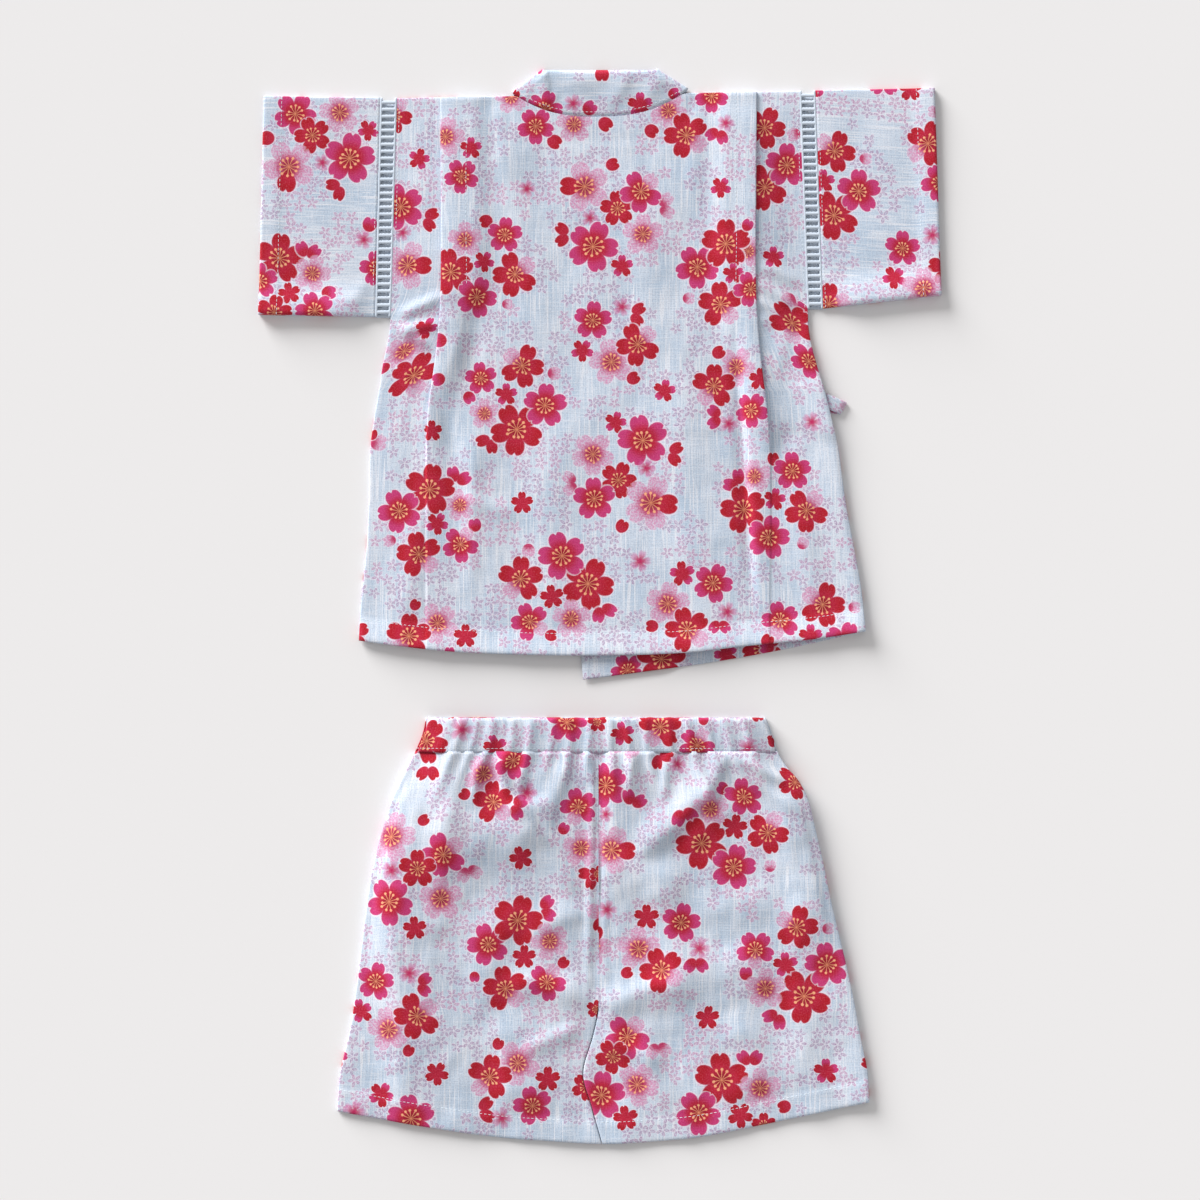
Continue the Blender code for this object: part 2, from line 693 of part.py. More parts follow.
def waistband():
    low = CASING / 2
    middle, high = low + CASING_TURN, low + 2 * CASING_TURN
    crests = [gather.across for gather in GATHERS]
    places = []
    for crest, after in zip(crests, crests[1:] + [crests[-1] + 12]):
        places += [mix(crest, after, share) for share in (0, 0.28, 0.6)]
    first, last = shorts_side(CASING_BOTTOM, -1), shorts_side(CASING_BOTTOM, 1)
    rows = []
    for y in steps(CASING_BOTTOM, WAIST_TOP, 3):
        left = shorts_side(y, -1) + CASING_TURN + CASING / 2
        right = shorts_side(y, 1) - CASING_TURN - CASING / 2
        row = [(x, y, low) for x in steps(right, left, 8)]
        row += fold_over(left, y, -1, CASING_TURN, middle) + [(left, y, high)]
        for place in places:
            share = (place - first) / (last - first)
            row.append((mix(left, right, share), y, high + gathers_at(place, 0)))
        row += [(right, y, high)] + fold_over(right, y, 1, CASING_TURN, middle)[::-1]
        rows.append(row)
    wall("waistband", rows, CASING, ring=True)


for old in list(bpy.data.objects):
    bpy.data.objects.remove(old)

back()
front("front_left", -1, BACK_HEM, FRONT_HEM_RISE)
front("front_right", 1, RIGHT_FRONT_HEM, 0)
collar()
for side, label in ((-1, "left"), (1, "right")):
    sleeve(f"sleeve_{label}", side)
    lace(f"lace_{label}_back", side, 1)
    lace(f"lace_{label}_front", side, -1)
    leg(f"leg_{label}", side)
ties()
waistband()
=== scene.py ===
import math
import random

import bpy
import numpy as np
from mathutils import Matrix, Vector, noise
from mathutils.bvhtree import BVHTree


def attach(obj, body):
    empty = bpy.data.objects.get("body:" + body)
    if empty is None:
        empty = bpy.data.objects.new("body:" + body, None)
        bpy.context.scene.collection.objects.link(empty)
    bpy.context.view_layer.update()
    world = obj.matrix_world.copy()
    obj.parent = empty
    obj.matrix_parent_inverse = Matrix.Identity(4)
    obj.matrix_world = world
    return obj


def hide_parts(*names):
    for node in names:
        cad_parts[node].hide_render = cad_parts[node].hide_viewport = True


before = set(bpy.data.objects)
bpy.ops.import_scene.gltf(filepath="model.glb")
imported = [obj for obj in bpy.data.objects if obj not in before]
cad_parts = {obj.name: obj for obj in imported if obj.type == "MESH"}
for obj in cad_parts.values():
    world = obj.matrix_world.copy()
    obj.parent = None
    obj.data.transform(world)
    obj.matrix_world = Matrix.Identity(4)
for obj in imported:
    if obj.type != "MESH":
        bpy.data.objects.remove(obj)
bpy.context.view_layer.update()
mm = 0.001  # tables and sizes are in millimetres
print("frame loaded")


# small helpers

def mix(a, b, share):
    return a + (b - a) * share


def smooth(start, end, at):
    share = min(1.0, max(0.0, (at - start) / (end - start)))
    return share * share * (3 - 2 * share)


def steps(start, end, count):
    return [mix(start, end, n / count) for n in range(count + 1)]


def curveAt(points, at):
    # smooth curve through (place, value) points with rising places
    at = min(points[-1][0], max(points[0][0], at))
    i = max(n for n in range(len(points) - 1) if points[n][0] <= at)
    span = points[i + 1][0] - points[i][0]
    slopes = []
    for n in (i, i + 1):
        (a, va), (b, vb) = points[max(0, n - 1)], points[min(len(points) - 1, n + 1)]
        slopes.append(span * (vb - va) / (b - a))
    t = (at - points[i][0]) / span
    ends = points[i][1] * (2 * t**3 - 3 * t**2 + 1) + points[i + 1][1] * (3 * t**2 - 2 * t**3)
    return ends + slopes[0] * (t**3 - 2 * t**2 + t) + slopes[1] * (t**3 - t**2)


def wobble(x, y, size, seed):
    # soft unevenness from -1 to 1, with bumps about size millimetres across
    return noise.noise((x / size, y / size, seed * 7.3))


def toLinear(hexColour):
    values = [int(hexColour[n:n + 2], 16) / 255 for n in (1, 3, 5)]
    return [v / 12.92 if v <= 0.04045 else ((v + 0.055) / 1.055) ** 2.4 for v in values] + [1]


def put(tree, kind, *inputs, out=0, prefix="ShaderNode", **settings):
    # adds a node; an input is a socket to link, a value to set, or None to leave alone
    made = tree.nodes.new(prefix + kind)
    for name, value in settings.items():
        setattr(made, name, value)
    sockets = [s for s in made.inputs if s.enabled]
    for socket, value in zip(sockets, inputs):
        if isinstance(value, bpy.types.NodeSocket):
            tree.links.new(value, socket)
        elif value is not None:
            socket.default_value = value
    return made if out is None else [s for s in made.outputs if s.enabled][out]


def newTree(name, kind, inputs, outputs):
    # a node group with named sockets; an input may give the value it starts from
    tree = bpy.data.node_groups.new(name, kind)
    for label, socket, *value in inputs:
        made = tree.interface.new_socket(label, in_out="INPUT", socket_type="NodeSocket" + socket)
        if value:
            made.default_value = value[0]
    for label, socket in outputs:
        tree.interface.new_socket(label, in_out="OUTPUT", socket_type="NodeSocket" + socket)
    return tree, put(tree, "GroupInput", out=None, prefix="Node").outputs


def newMaterial(name, roughness, specular):
    material = bpy.data.materials.new(name)
    material.use_nodes = True
    shader = material.node_tree.nodes["Principled BSDF"]
    shader.inputs["Roughness"].default_value = roughness
    shader.inputs["Specular IOR Level"].default_value = specular
    return material, material.node_tree, shader


def linked(name, data):
    made = bpy.data.objects.new(name, data)
    bpy.context.scene.collection.objects.link(made)
    return made


# creases: soft ridges (height > 0) and troughs (< 0)
# each runs from (x0, y0) to (x1, y1), bowed sideways, and is wider on one side than on the other

def creaseLift(creases, x, y):
    lift = 0.0
    for x0, y0, x1, y1, height, leftWidth, rightWidth, bow in creases:
        dx, dy = x1 - x0, y1 - y0
        length = math.hypot(dx, dy)
        share = ((x - x0) * dx + (y - y0) * dy) / length**2
        if not -0.3 < share < 1.3:
            continue
        aside = ((x - x0) * dy - (y - y0) * dx) / length - bow * 4 * share * (1 - share)
        width = rightWidth if aside > 0 else leftWidth
        if abs(aside) > 3 * width:
            continue
        taper = smooth(-0.25, 0.2, share) * (1 - smooth(0.75, 1.25, share))
        lift += height * taper * math.exp(-((aside / width) ** 2))
    return lift


# cloth walls

cloth = {"wall": 0.55, "collarWall": 0.9, "casingWall": 0.9}


def clothPiece(name, rows, cuts, wall, materials, ring=False):
    # a closed thin wall round a grid of middle points; cuts are the same points on the flat cut cloth,
    # materials are those of the face side and of the wrong side
    points = np.array([[tuple(p) for p in row] for row in rows])
    cut = np.array(cuts) * mm
    if ring:
        points = np.concatenate([points, points[:, :1]], axis=1)
    across, along = np.empty_like(points), np.empty_like(points)
    across[:, 1:-1] = points[:, 2:] - points[:, :-2]
    if ring:
        across[:, 0] = across[:, -1] = points[:, 1] - points[:, -2]
    else:
        across[:, 0] = 2 * (points[:, 1] - points[:, 0]) - (points[:, 2] - points[:, 0]) / 2
        across[:, -1] = 2 * (points[:, -1] - points[:, -2]) - (points[:, -1] - points[:, -3]) / 2
    along[1:-1] = points[2:] - points[:-2]
    along[0], along[-1] = points[1] - points[0], points[-1] - points[-2]
    normals = np.cross(across, along)
    normals /= np.linalg.norm(normals, axis=2, keepdims=True) + 1e-12
    if ring:
        points, normals = points[:, :-1], normals[:, :-1]
    height, width = points.shape[:2]
    face = (points + normals * wall / 2).reshape(-1, 3) * mm
    wrong = (points - normals * wall / 2).reshape(-1, 3) * mm
    count = height * width

    def at(i, j):
        return i * width + j % width

    cells = [(i, j) for i in range(height - 1) for j in range(width if ring else width - 1)]
    faces, uvs, sides = [], [], []
    uvAt = cut.reshape(height, -1, 2)
    for i, j in cells:
        corners = [(i, j), (i, j + 1), (i + 1, j + 1), (i + 1, j)]
        faces.append([at(a, b) for a, b in corners])
        faces.append([count + at(a, b) for a, b in reversed(corners)])
        uvs += [uvAt[a, b] for a, b in corners] + [uvAt[a, b] for a, b in reversed(corners)]
        sides += [0, 1]
    border = [((0, j + 1), (0, j)) for j in range(width if ring else width - 1)]
    border += [((height - 1, j), (height - 1, j + 1)) for j in range(width if ring else width - 1)]
    if not ring:
        border += [((i, 0), (i + 1, 0)) for i in range(height - 1)]
        border += [((i + 1, width - 1), (i, width - 1)) for i in range(height - 1)]
    for a, b in border:
        faces.append([at(*a), at(*b), count + at(*b), count + at(*a)])
        uvs += [uvAt[a], uvAt[b], uvAt[b], uvAt[a]]
        sides.append(0)
    mesh = bpy.data.meshes.new(name)
    mesh.from_pydata(np.concatenate([face, wrong]).tolist(), [], faces)
    mesh.uv_layers.new(name="cut").data.foreach_set("uv", np.array(uvs, dtype=np.float32).ravel())
    for material in materials:
        mesh.materials.append(material)
    mesh.polygons.foreach_set("material_index", sides)
    mesh.shade_smooth()
    return linked(name, mesh)


def cutCorners(mesh):
    # the corners of every face on the flat cut cloth, in metres
    corners = np.empty(len(mesh.loops) * 2, dtype=np.float32)
    mesh.uv_layers["cut"].data.foreach_get("uv", corners)
    return corners.reshape(-1, 4, 2)


# print motifs

motifKinds = {
    # each petal's ink, going round (0 none, 1 rose, 2 red, 3 pale), and the look of the whole:
    # 0 open flower, 1 small star, 2 blurred, 3 loose petal, 4 two petals together
    "rose": ("11111", 0), "red": ("22222", 0), "pale": ("33333", 0), "redPale": ("32222", 0),
    "rosePale": ("31111", 0), "paleRed": ("23333", 0), "star": ("12121", 1), "redStar": ("22222", 1),
    "fuzzy": ("11111", 2), "petal": ("20000", 3), "rosePetal": ("10000", 3), "palePetal": ("30000", 3),
    "pair": ("22000", 4), "rosePair": ("11000", 4), "palePair": ("33000", 4),
}
motifSlots = 4  # as many as overlap anywhere in the print


def chartMotifs(mesh, motifs):
    # every face keeps the motifs that reach it, the last drawn one on top
    faceCount = len(mesh.polygons)
    place = np.zeros((motifSlots, faceCount, 3), dtype=np.float32)
    style = np.zeros((motifSlots, faceCount, 3), dtype=np.float32)
    if len(motifs):
        corners = cutCorners(mesh) / mm
        centre = corners.mean(axis=1)
        reach = np.linalg.norm(corners - centre[:, None], axis=2).max(axis=1)
        used = np.zeros(faceCount, dtype=int)
        for kind, x, y, radius, turn in reversed(motifs):
            petals, look = motifKinds[kind]
            near = np.hypot(centre[:, 0] - x, centre[:, 1] - y) < radius * motifShape["outside"] + reach
            near &= used < motifSlots
            code = sum(int(p) * 4**n for n, p in enumerate(petals))
            slot = used[near]
            place[slot, np.nonzero(near)[0]] = (x * mm, y * mm, radius * mm)
            style[slot, np.nonzero(near)[0]] = (-math.radians(turn), code, look)
            used[near] += 1
    for n in range(motifSlots):
        for label, values in (("place", place), ("style", style)):
            layer = mesh.attributes.new(f"motif{n}{label.capitalize()}", "FLOAT_VECTOR", "FACE")
            layer.data.foreach_set("vector", values[n].ravel())


# materials

ink = {
    "rose": "#C63A74", "roseDeep": "#B81C38", "red": "#B21226", "redBase": "#BA1E3A", "pale": "#D492B7",
    "paleBase": "#BE2A5E", "haze": "#D068A0", "core": "#8C1226", "stamen": "#F4AC82", "stamenShade": "#DE8A60",
    "rim": "#F0E0EA",
}
motifShape = {  # shares of a motif's radius; the grains are to a millimetre, the dots' spacing in millimetres
    "petal": ((0.0, 0.2), (0.25, 0.25), (0.42, 0.325), (0.62, 0.375), (0.82, 0.34), (0.93, 0.26), (1.0, 0.12)),
    "petalCleft": 0.9, "heart": 0.4, "starHeart": 0.44, "starNarrow": 0.94, "outside": 1.12,
    "ovalMiddle": 0.57, "ovalLength": 0.47, "ovalWide": 0.42, "looseScale": 1.1,
    "pairMiddle": 0.48, "pairWide": 0.35, "pairLean": 36,
    "softEdge": 0.022, "blur": 0.15, "uneven": 0.05, "rim": 0.06, "grains": 2.6, "dotSpacing": 1.3,
    "filaments": 11, "stamenLength": 0.3, "stamenVary": 0.1, "filament": 0.04, "filamentEdge": 0.012,
    "dot": 0.042, "dotEdge": 0.066,
}


def petalPlace(g, scaled):
    # where a spot lies in its own fifth of a round motif: along the petal and beside it
    q = put(g, "SeparateXYZ", scaled, out=None).outputs
    r = put(g, "VectorMath", scaled, operation="LENGTH")
    angle = put(g, "Math", q["Y"], q["X"], operation="ARCTAN2")
    sector = put(g, "Math", angle, 5 / (2 * math.pi), 5.5, operation="MULTIPLY_ADD")
    share = put(g, "Math", put(g, "Math", sector, operation="FRACT"), 0.5, operation="SUBTRACT")
    local = put(g, "Math", share, 2 * math.pi / 5, operation="MULTIPLY")
    x, y = (put(g, "Math", r, put(g, "Math", local, operation=way), operation="MULTIPLY")
            for way in ("COSINE", "SINE"))
    return x, y, q, r, angle, sector


def blossomGroup():
    # draws one motif over the colour under it
    vectors = [(label, "Vector") for label in ("Spot", "Place", "Style")]
    g, given = newTree("blossom", "ShaderNodeTree", [("Under", "Color")] + vectors, [("Colour", "Color")])
    under, spot = given["Under"], given["Spot"]
    place, style = (put(g, "SeparateXYZ", given[label], out=None).outputs for label in ("Place", "Style"))
    centre = put(g, "CombineXYZ", place["X"], place["Y"], 0.0)
    away = put(g, "VectorMath", spot, centre, operation="SUBTRACT")
    turned = put(g, "VectorRotate", away, (0, 0, 0), style["X"], rotation_type="Z_AXIS")
    radius = put(g, "Math", place["Z"], 1e-5, operation="MAXIMUM")
    scale = put(g, "Math", 1.0, radius, operation="DIVIDE")
    scaled = put(g, "VectorMath", turned, scale, operation="SCALE")
    x, y, q, r, angle, sector = petalPlace(g, scaled)
    number = put(g, "Math", put(g, "Math", sector, operation="FLOOR"), 5.0, operation="MODULO")
    isOpen, isStar, isBlurred, isLoose, isPair = (
        put(g, "Math", style["Z"], look, 0.1, operation="COMPARE") for look in (0.0, 1.0, 2.0, 3.0, 4.0))
    isOval = put(g, "Math", isLoose, isPair, operation="ADD")
    # two petals together are one, mirrored: the spot is turned upright, folded over and turned on
    lean = -math.radians(motifShape["pairLean"])
    upright = put(g, "VectorRotate", scaled, (0, 0, 0), lean, rotation_type="Z_AXIS")
    fold = put(g, "SeparateXYZ", upright, out=None).outputs
    fold = put(g, "CombineXYZ", fold["X"], put(g, "Math", fold["Y"], operation="ABSOLUTE"), 0.0)
    fold = put(g, "VectorRotate", fold, (0, 0, 0), lean, rotation_type="Z_AXIS")
    fold = put(g, "SeparateXYZ", fold, out=None).outputs
    x, y = (put(g, "Mix", isPair, put(g, "Mix", isLoose, fromPetal, q[way]), fold[way])
            for fromPetal, way in ((x, "X"), (y, "Y")))
    y = put(g, "Math", y, operation="ABSOLUTE")
    number = put(g, "Math", number, put(g, "Math", 1.0, isOval, operation="SUBTRACT"), operation="MULTIPLY")
    # the petal's half width along it, with a hand-drawn unevenness
    profile = put(g, "FloatCurve", 1.0, x, out=None)
    line = profile.mapping.curves[0]
    for n, (along, half) in enumerate(motifShape["petal"]):
        if n < 2:
            line.points[n].location = (along, half)
        else:
            line.points.new(along, half)
    profile.mapping.update()
    along = put(g, "Math", put(g, "Math", x, motifShape["ovalMiddle"], operation="SUBTRACT"),
                motifShape["ovalLength"], operation="DIVIDE")
    wide = put(g, "Math", isPair, motifShape["pairWide"] - motifShape["ovalWide"], motifShape["ovalWide"],
               operation="MULTIPLY_ADD")
    across = put(g, "Math", y, wide, operation="DIVIDE")
    oval = put(g, "VectorMath", put(g, "CombineXYZ", along, across, 0.0), operation="LENGTH")
    oval = put(g, "Math", put(g, "Math", 1.0, oval, operation="SUBTRACT"), wide, operation="MULTIPLY")
    half = put(g, "Math", isStar, motifShape["starNarrow"] - 1, 1.0, operation="MULTIPLY_ADD")
    half = put(g, "Math", profile.outputs[0], half, operation="MULTIPLY")
    inside = put(g, "Mix", isOval, put(g, "Math", half, y, operation="SUBTRACT"), oval)
    cleft = put(g, "Math", put(g, "Math", y, 1.3, operation="MULTIPLY"), 0.1, operation="MINIMUM")
    cleft = put(g, "Math", isOval, -0.05, cleft, operation="MULTIPLY_ADD")
    tip = put(g, "Math", put(g, "Math", cleft, motifShape["petalCleft"], operation="ADD"), x,
              operation="SUBTRACT")
    inside = put(g, "Math", inside, put(g, "Math", tip, 0.8, operation="MULTIPLY"), operation="MINIMUM")
    heart = put(g, "Math", isStar, motifShape["starHeart"] - motifShape["heart"], motifShape["heart"],
                operation="MULTIPLY_ADD")
    heart = put(g, "Math", put(g, "Math", heart, r, operation="SUBTRACT"), isOval, operation="SUBTRACT")
    inside = put(g, "Math", inside, heart, operation="MAXIMUM")
    grain = put(g, "TexNoise", spot, motifShape["grains"] / mm, 1.0, 0.6)
    grain = put(g, "Math", grain, 0.5, operation="SUBTRACT")
    inside = put(g, "Math", grain, motifShape["uneven"], inside, operation="MULTIPLY_ADD")
    # this petal's ink, read from the motif's code
    power = put(g, "Math", 4.0, number, operation="POWER")
    digit = put(g, "Math", put(g, "Math", style["Y"], power, operation="DIVIDE"), operation="FLOOR")
    digit = put(g, "Math", digit, 4.0, operation="MODULO")
    isPetal = put(g, "Math", digit, 0.5, operation="GREATER_THAN")
    isRed = put(g, "Math", digit, 2.0, 0.1, operation="COMPARE")
    isPale = put(g, "Math", digit, 3.0, 0.1, operation="COMPARE")
    soft = put(g, "Math", isBlurred, motifShape["blur"], motifShape["softEdge"], operation="MULTIPLY_ADD")
    hard = put(g, "Math", soft, -0.35, operation="MULTIPLY")
    mask = put(g, "MapRange", inside, hard, soft, 0.0, 1.0, interpolation_type="SMOOTHSTEP")
    mask = put(g, "Math", mask, isPetal, operation="MULTIPLY")
    # each ink deepens towards the middle
    outward = put(g, "MapRange", r, 0.4, 0.82, 0.0, 1.0, interpolation_type="SMOOTHSTEP")
    blush = put(g, "MapRange", r, 0.28, 0.74, 0.0, 1.0, interpolation_type="SMOOTHSTEP")
    colour, red, pale, haze = (
        put(g, "Mix", share, toLinear(ink[middle]), toLinear(ink[tip]), data_type="RGBA")
        for share, middle, tip in ((outward, "roseDeep", "rose"), (outward, "redBase", "red"),
                                   (blush, "paleBase", "pale"), (blush, "paleBase", "haze")))
    rim = put(g, "MapRange", inside, 0.0, motifShape["rim"], 0.25, 0.0)
    for share, over in ((isRed, red), (isPale, pale), (isBlurred, haze), (rim, toLinear(ink["pale"]))):
        colour = put(g, "Mix", share, colour, over, data_type="RGBA")
    core = put(g, "MapRange", r, 0.12, 0.46, 0.75, 0.0, interpolation_type="SMOOTHSTEP")
    core = put(g, "Math", core, isOpen, operation="MULTIPLY")
    colour = put(g, "Mix", core, colour, toLinear(ink["core"]), data_type="RGBA")
    faint = put(g, "MapRange", blush, 0.0, 1.0, 0.97, 0.68)
    # pale inks are printed as fine dots, drawn about twice as coarse as they are
    dots = put(g, "TexNoise", spot, 1 / (motifShape["dotSpacing"] * mm), 1.0, 0.5)
    dots = put(g, "Mix", blush, 1.0, put(g, "MapRange", dots, 0.42, 0.6, 0.55, 1.4))
    faint = put(g, "Math", faint, dots, operation="MULTIPLY")
    faint = put(g, "Math", faint, 1.0, operation="MINIMUM")
    strength = put(g, "Mix", isPale, 1.0, faint)
    fading = put(g, "MapRange", r, 0.1, 0.95, 1.0, 0.4)
    strength = put(g, "Math", put(g, "Mix", isBlurred, 1.0, fading), strength, operation="MULTIPLY")
    amount = put(g, "Math", mask, strength, operation="MULTIPLY")
    # the unprinted rim that shows round strong motifs
    rimOut = put(g, "MapRange", inside, -0.08, -0.03, 0.0, 0.6, interpolation_type="SMOOTHSTEP")
    solid = put(g, "Math", isPetal, put(g, "Math", isPale, 0.6, operation="MULTIPLY"), operation="SUBTRACT")
    solid = put(g, "Math", solid, isBlurred, operation="SUBTRACT")
    solid = put(g, "Math", solid, 0.0, operation="MAXIMUM")
    rimOut = put(g, "Math", rimOut, solid, operation="MULTIPLY")
    result = put(g, "Mix", rimOut, under, toLinear(ink["rim"]), data_type="RGBA")
    result = put(g, "Mix", amount, result, colour, data_type="RGBA")
    # stamens: filaments with a dot at the end of each
    ray = put(g, "Math", angle, motifShape["filaments"] / (2 * math.pi), 40.5, operation="MULTIPLY_ADD")
    rayNumber = put(g, "Math", ray, operation="FLOOR")
    seed = put(g, "Math", rayNumber, put(g, "Math", style["X"], 3.1, operation="MULTIPLY"), operation="ADD")
    chance = put(g, "TexWhiteNoise", seed, noise_dimensions="1D")
    length = put(g, "Math", chance, motifShape["stamenVary"], motifShape["stamenLength"],
                 operation="MULTIPLY_ADD")
    aside = put(g, "Math", put(g, "Math", ray, operation="FRACT"), 0.5, operation="SUBTRACT")
    aside = put(g, "Math", put(g, "Math", aside, r, operation="MULTIPLY"),
                2 * math.pi / motifShape["filaments"], operation="MULTIPLY")
    sway = put(g, "Math", put(g, "Math", chance, 0.5, operation="SUBTRACT"), r, operation="MULTIPLY")
    aside = put(g, "Math", put(g, "Math", sway, r, operation="MULTIPLY"), 0.6, aside, operation="MULTIPLY_ADD")
    beside = put(g, "Math", aside, operation="ABSOLUTE")
    beside = put(g, "Math", r, -motifShape["filament"], beside, operation="MULTIPLY_ADD")
    filament = put(g, "MapRange", beside, 0.0, motifShape["filamentEdge"], 1.0, 0.0)
    short = put(g, "Math", r, length, operation="LESS_THAN")
    filament = put(g, "Math", filament, short, operation="MULTIPLY")
    toDot = put(g, "Math", r, length, operation="SUBTRACT")
    toDot = put(g, "VectorMath", put(g, "CombineXYZ", toDot, aside, 0.0), operation="LENGTH")
    dot = put(g, "MapRange", toDot, motifShape["dot"], motifShape["dotEdge"], 1.0, 0.0)
    stamen = put(g, "Math", filament, dot, operation="MAXIMUM")
    stamen = put(g, "Math", stamen, isOpen, operation="MULTIPLY")
    shade = put(g, "MapRange", toDot, 0.04, 0.14, 0.0, 0.75)
    tint = put(g, "Mix", shade, toLinear(ink["stamen"]), toLinear(ink["stamenShade"]), data_type="RGBA")
    result = put(g, "Mix", stamen, result, tint, data_type="RGBA")
    put(g, "GroupOutput", result, out=None, prefix="Node")
    return g


tiny = {  # millimetres; leaves are shares of a blossom's radius, grains are to a millimetre, patches to a metre
    "spacing": 8.8, "radius": 4.9, "leafMiddle": 0.56, "leafLength": 0.42, "leafWidth": 0.21,
    "patches": 34.0, "families": 22.0, "bare": 0.475, "strength": 0.85, "wornGrains": 0.9,
    "mauve": "#A985AA", "pink": "#C284AC", "pale": "#E8DDE9",
}


def tinyBlossomGroup():
    # the pale ground pattern: patches of tiny blossoms, each petal a hollow leaf, some mauve and some pink
    g, given = newTree("tinyBlossoms", "ShaderNodeTree", [("Under", "Color"), ("Spot", "Vector")],
                       [("Colour", "Color")])
    under, spot = given["Under"], given["Spot"]
    cells = put(g, "TexVoronoi", spot, 1 / (tiny["spacing"] * mm), None, None, None, 0.5, out=None,
                voronoi_dimensions="2D")
    centre = cells.outputs["Position"]
    away = put(g, "VectorMath", spot, centre, operation="SUBTRACT")
    chance = put(g, "SeparateColor", cells.outputs["Color"], out=None).outputs
    turn = put(g, "Math", chance["Red"], 6.28, operation="MULTIPLY")
    turned = put(g, "VectorRotate", away, (0, 0, 0), turn, rotation_type="Z_AXIS")
    size = put(g, "MapRange", chance["Green"], 0.0, 1.0, 0.85, 1.1)
    size = put(g, "Math", 1 / (tiny["radius"] * mm), size, operation="DIVIDE")
    scaled = put(g, "VectorMath", turned, size, operation="SCALE")
    x, y, *_ = petalPlace(g, scaled)
    along = put(g, "Math", x, tiny["leafMiddle"], operation="SUBTRACT")
    along = put(g, "Math", along, 1 / tiny["leafLength"], operation="MULTIPLY")
    beside = put(g, "Math", y, 1 / tiny["leafWidth"], operation="MULTIPLY")
    leaf = put(g, "VectorMath", put(g, "CombineXYZ", along, beside, 0.0), operation="LENGTH")
    stroke = put(g, "MapRange", leaf, 1.1, 1.45, 1.0, 0.0)
    filled = put(g, "MapRange", leaf, 0.8, 1.1, 1.0, 0.0)
    filled = put(g, "Math", filled, put(g, "MapRange", leaf, 0.0, 0.55, 0.55, 1.0), operation="MULTIPLY")
    worn = put(g, "TexNoise", spot, tiny["wornGrains"] / mm, 2.0, 0.6)
    worn = put(g, "MapRange", worn, 0.38, 0.6, 0.3, 1.0)
    patches = put(g, "TexNoise", centre, tiny["patches"], 2.0, 0.5)
    patch = put(g, "Math", patches, tiny["bare"], operation="GREATER_THAN")
    amount = put(g, "Math", put(g, "Math", stroke, worn, operation="MULTIPLY"), patch, operation="MULTIPLY")
    amount = put(g, "Math", amount, tiny["strength"], operation="MULTIPLY")
    family = put(g, "VectorMath", centre, (3.1, 1.7, 0.0), operation="ADD")
    family = put(g, "TexNoise", family, tiny["families"], 1.0, 0.5)
    family = put(g, "MapRange", family, 0.46, 0.56, 0.0, 1.0)
    colour = put(g, "Mix", family, toLinear(tiny["mauve"]), toLinear(tiny["pink"]), data_type="RGBA")
    colour = put(g, "Mix", filled, toLinear(tiny["pale"]), colour, data_type="RGBA")
    result = put(g, "Mix", amount, under, colour, data_type="RGBA")
    put(g, "GroupOutput", result, out=None, prefix="Node")
    return g


slub = {
    "ground": "#BCCCDE", "deep": "#A6B7CD", "light": "#E6E8EF",
    "thread": 0.92, "slub": 1.2, "band": 9, "cloud": 48,
    "roughness": 0.92, "specular": 0.2, "sheen": 0.12, "sheenRoughness": 0.5, "bump": 0.35, "bumpHeight": 0.2,
    # paintedGapShade: painted shade, multiplied into the gaps between the yarns
    "gap": 0.95, "paintedGapShade": (0.62, 0.6, 0.64, 1.0),
}


def slubCottonGroup():
    # plain-woven cotton with uneven yarns: whitish streaks along the warp, finer ones across it;
    # the yarns are drawn about twice as coarse as the real 0.45 mm, so that they show
    g, given = newTree("slubCotton", "ShaderNodeTree", [("Spot", "Vector")],
                       [("Colour", "Color"), ("Height", "Float")])
    spot, still = given["Spot"], (0, 0, 0)
    warp = put(g, "Mapping", spot, still, still, (1.0, 0.04, 1.0))
    weft = put(g, "Mapping", spot, still, still, (0.06, 1.0, 1.0))
    slubs = put(g, "Mapping", spot, (0.3, 0.1, 0), still, (1.0, 0.03, 1.0))
    warpYarn, weftYarn, bands, clouds, slubs = (
        put(g, "TexNoise", along, 1 / (slub[size] * mm), detail, 0.5)
        for along, size, detail in ((warp, "thread", 1.0), (weft, "thread", 1.0), (warp, "band", 2.0),
                                    (spot, "cloud", 3.0), (slubs, "slub", 1.0)))
    colour = toLinear(slub["ground"])
    for pattern, start, full, amount, tone in (
        (clouds, 0.4, 0.66, 0.42, "light"), (bands, 0.45, 0.7, 0.34, "light"),
        (warpYarn, 0.47, 0.37, 0.34, "deep"), (warpYarn, 0.54, 0.64, 0.38, "light"),
        (weftYarn, 0.54, 0.64, 0.34, "light"), (slubs, 0.59, 0.63, 0.75, "light"),
    ):
        share = put(g, "MapRange", pattern, start, full, 0.0, amount)
        colour = put(g, "Mix", share, colour, toLinear(slub[tone]), data_type="RGBA")
    height = put(g, "Math", warpYarn, weftYarn, operation="ADD")
    put(g, "GroupOutput", colour, height, out=None, prefix="Node")
    return g


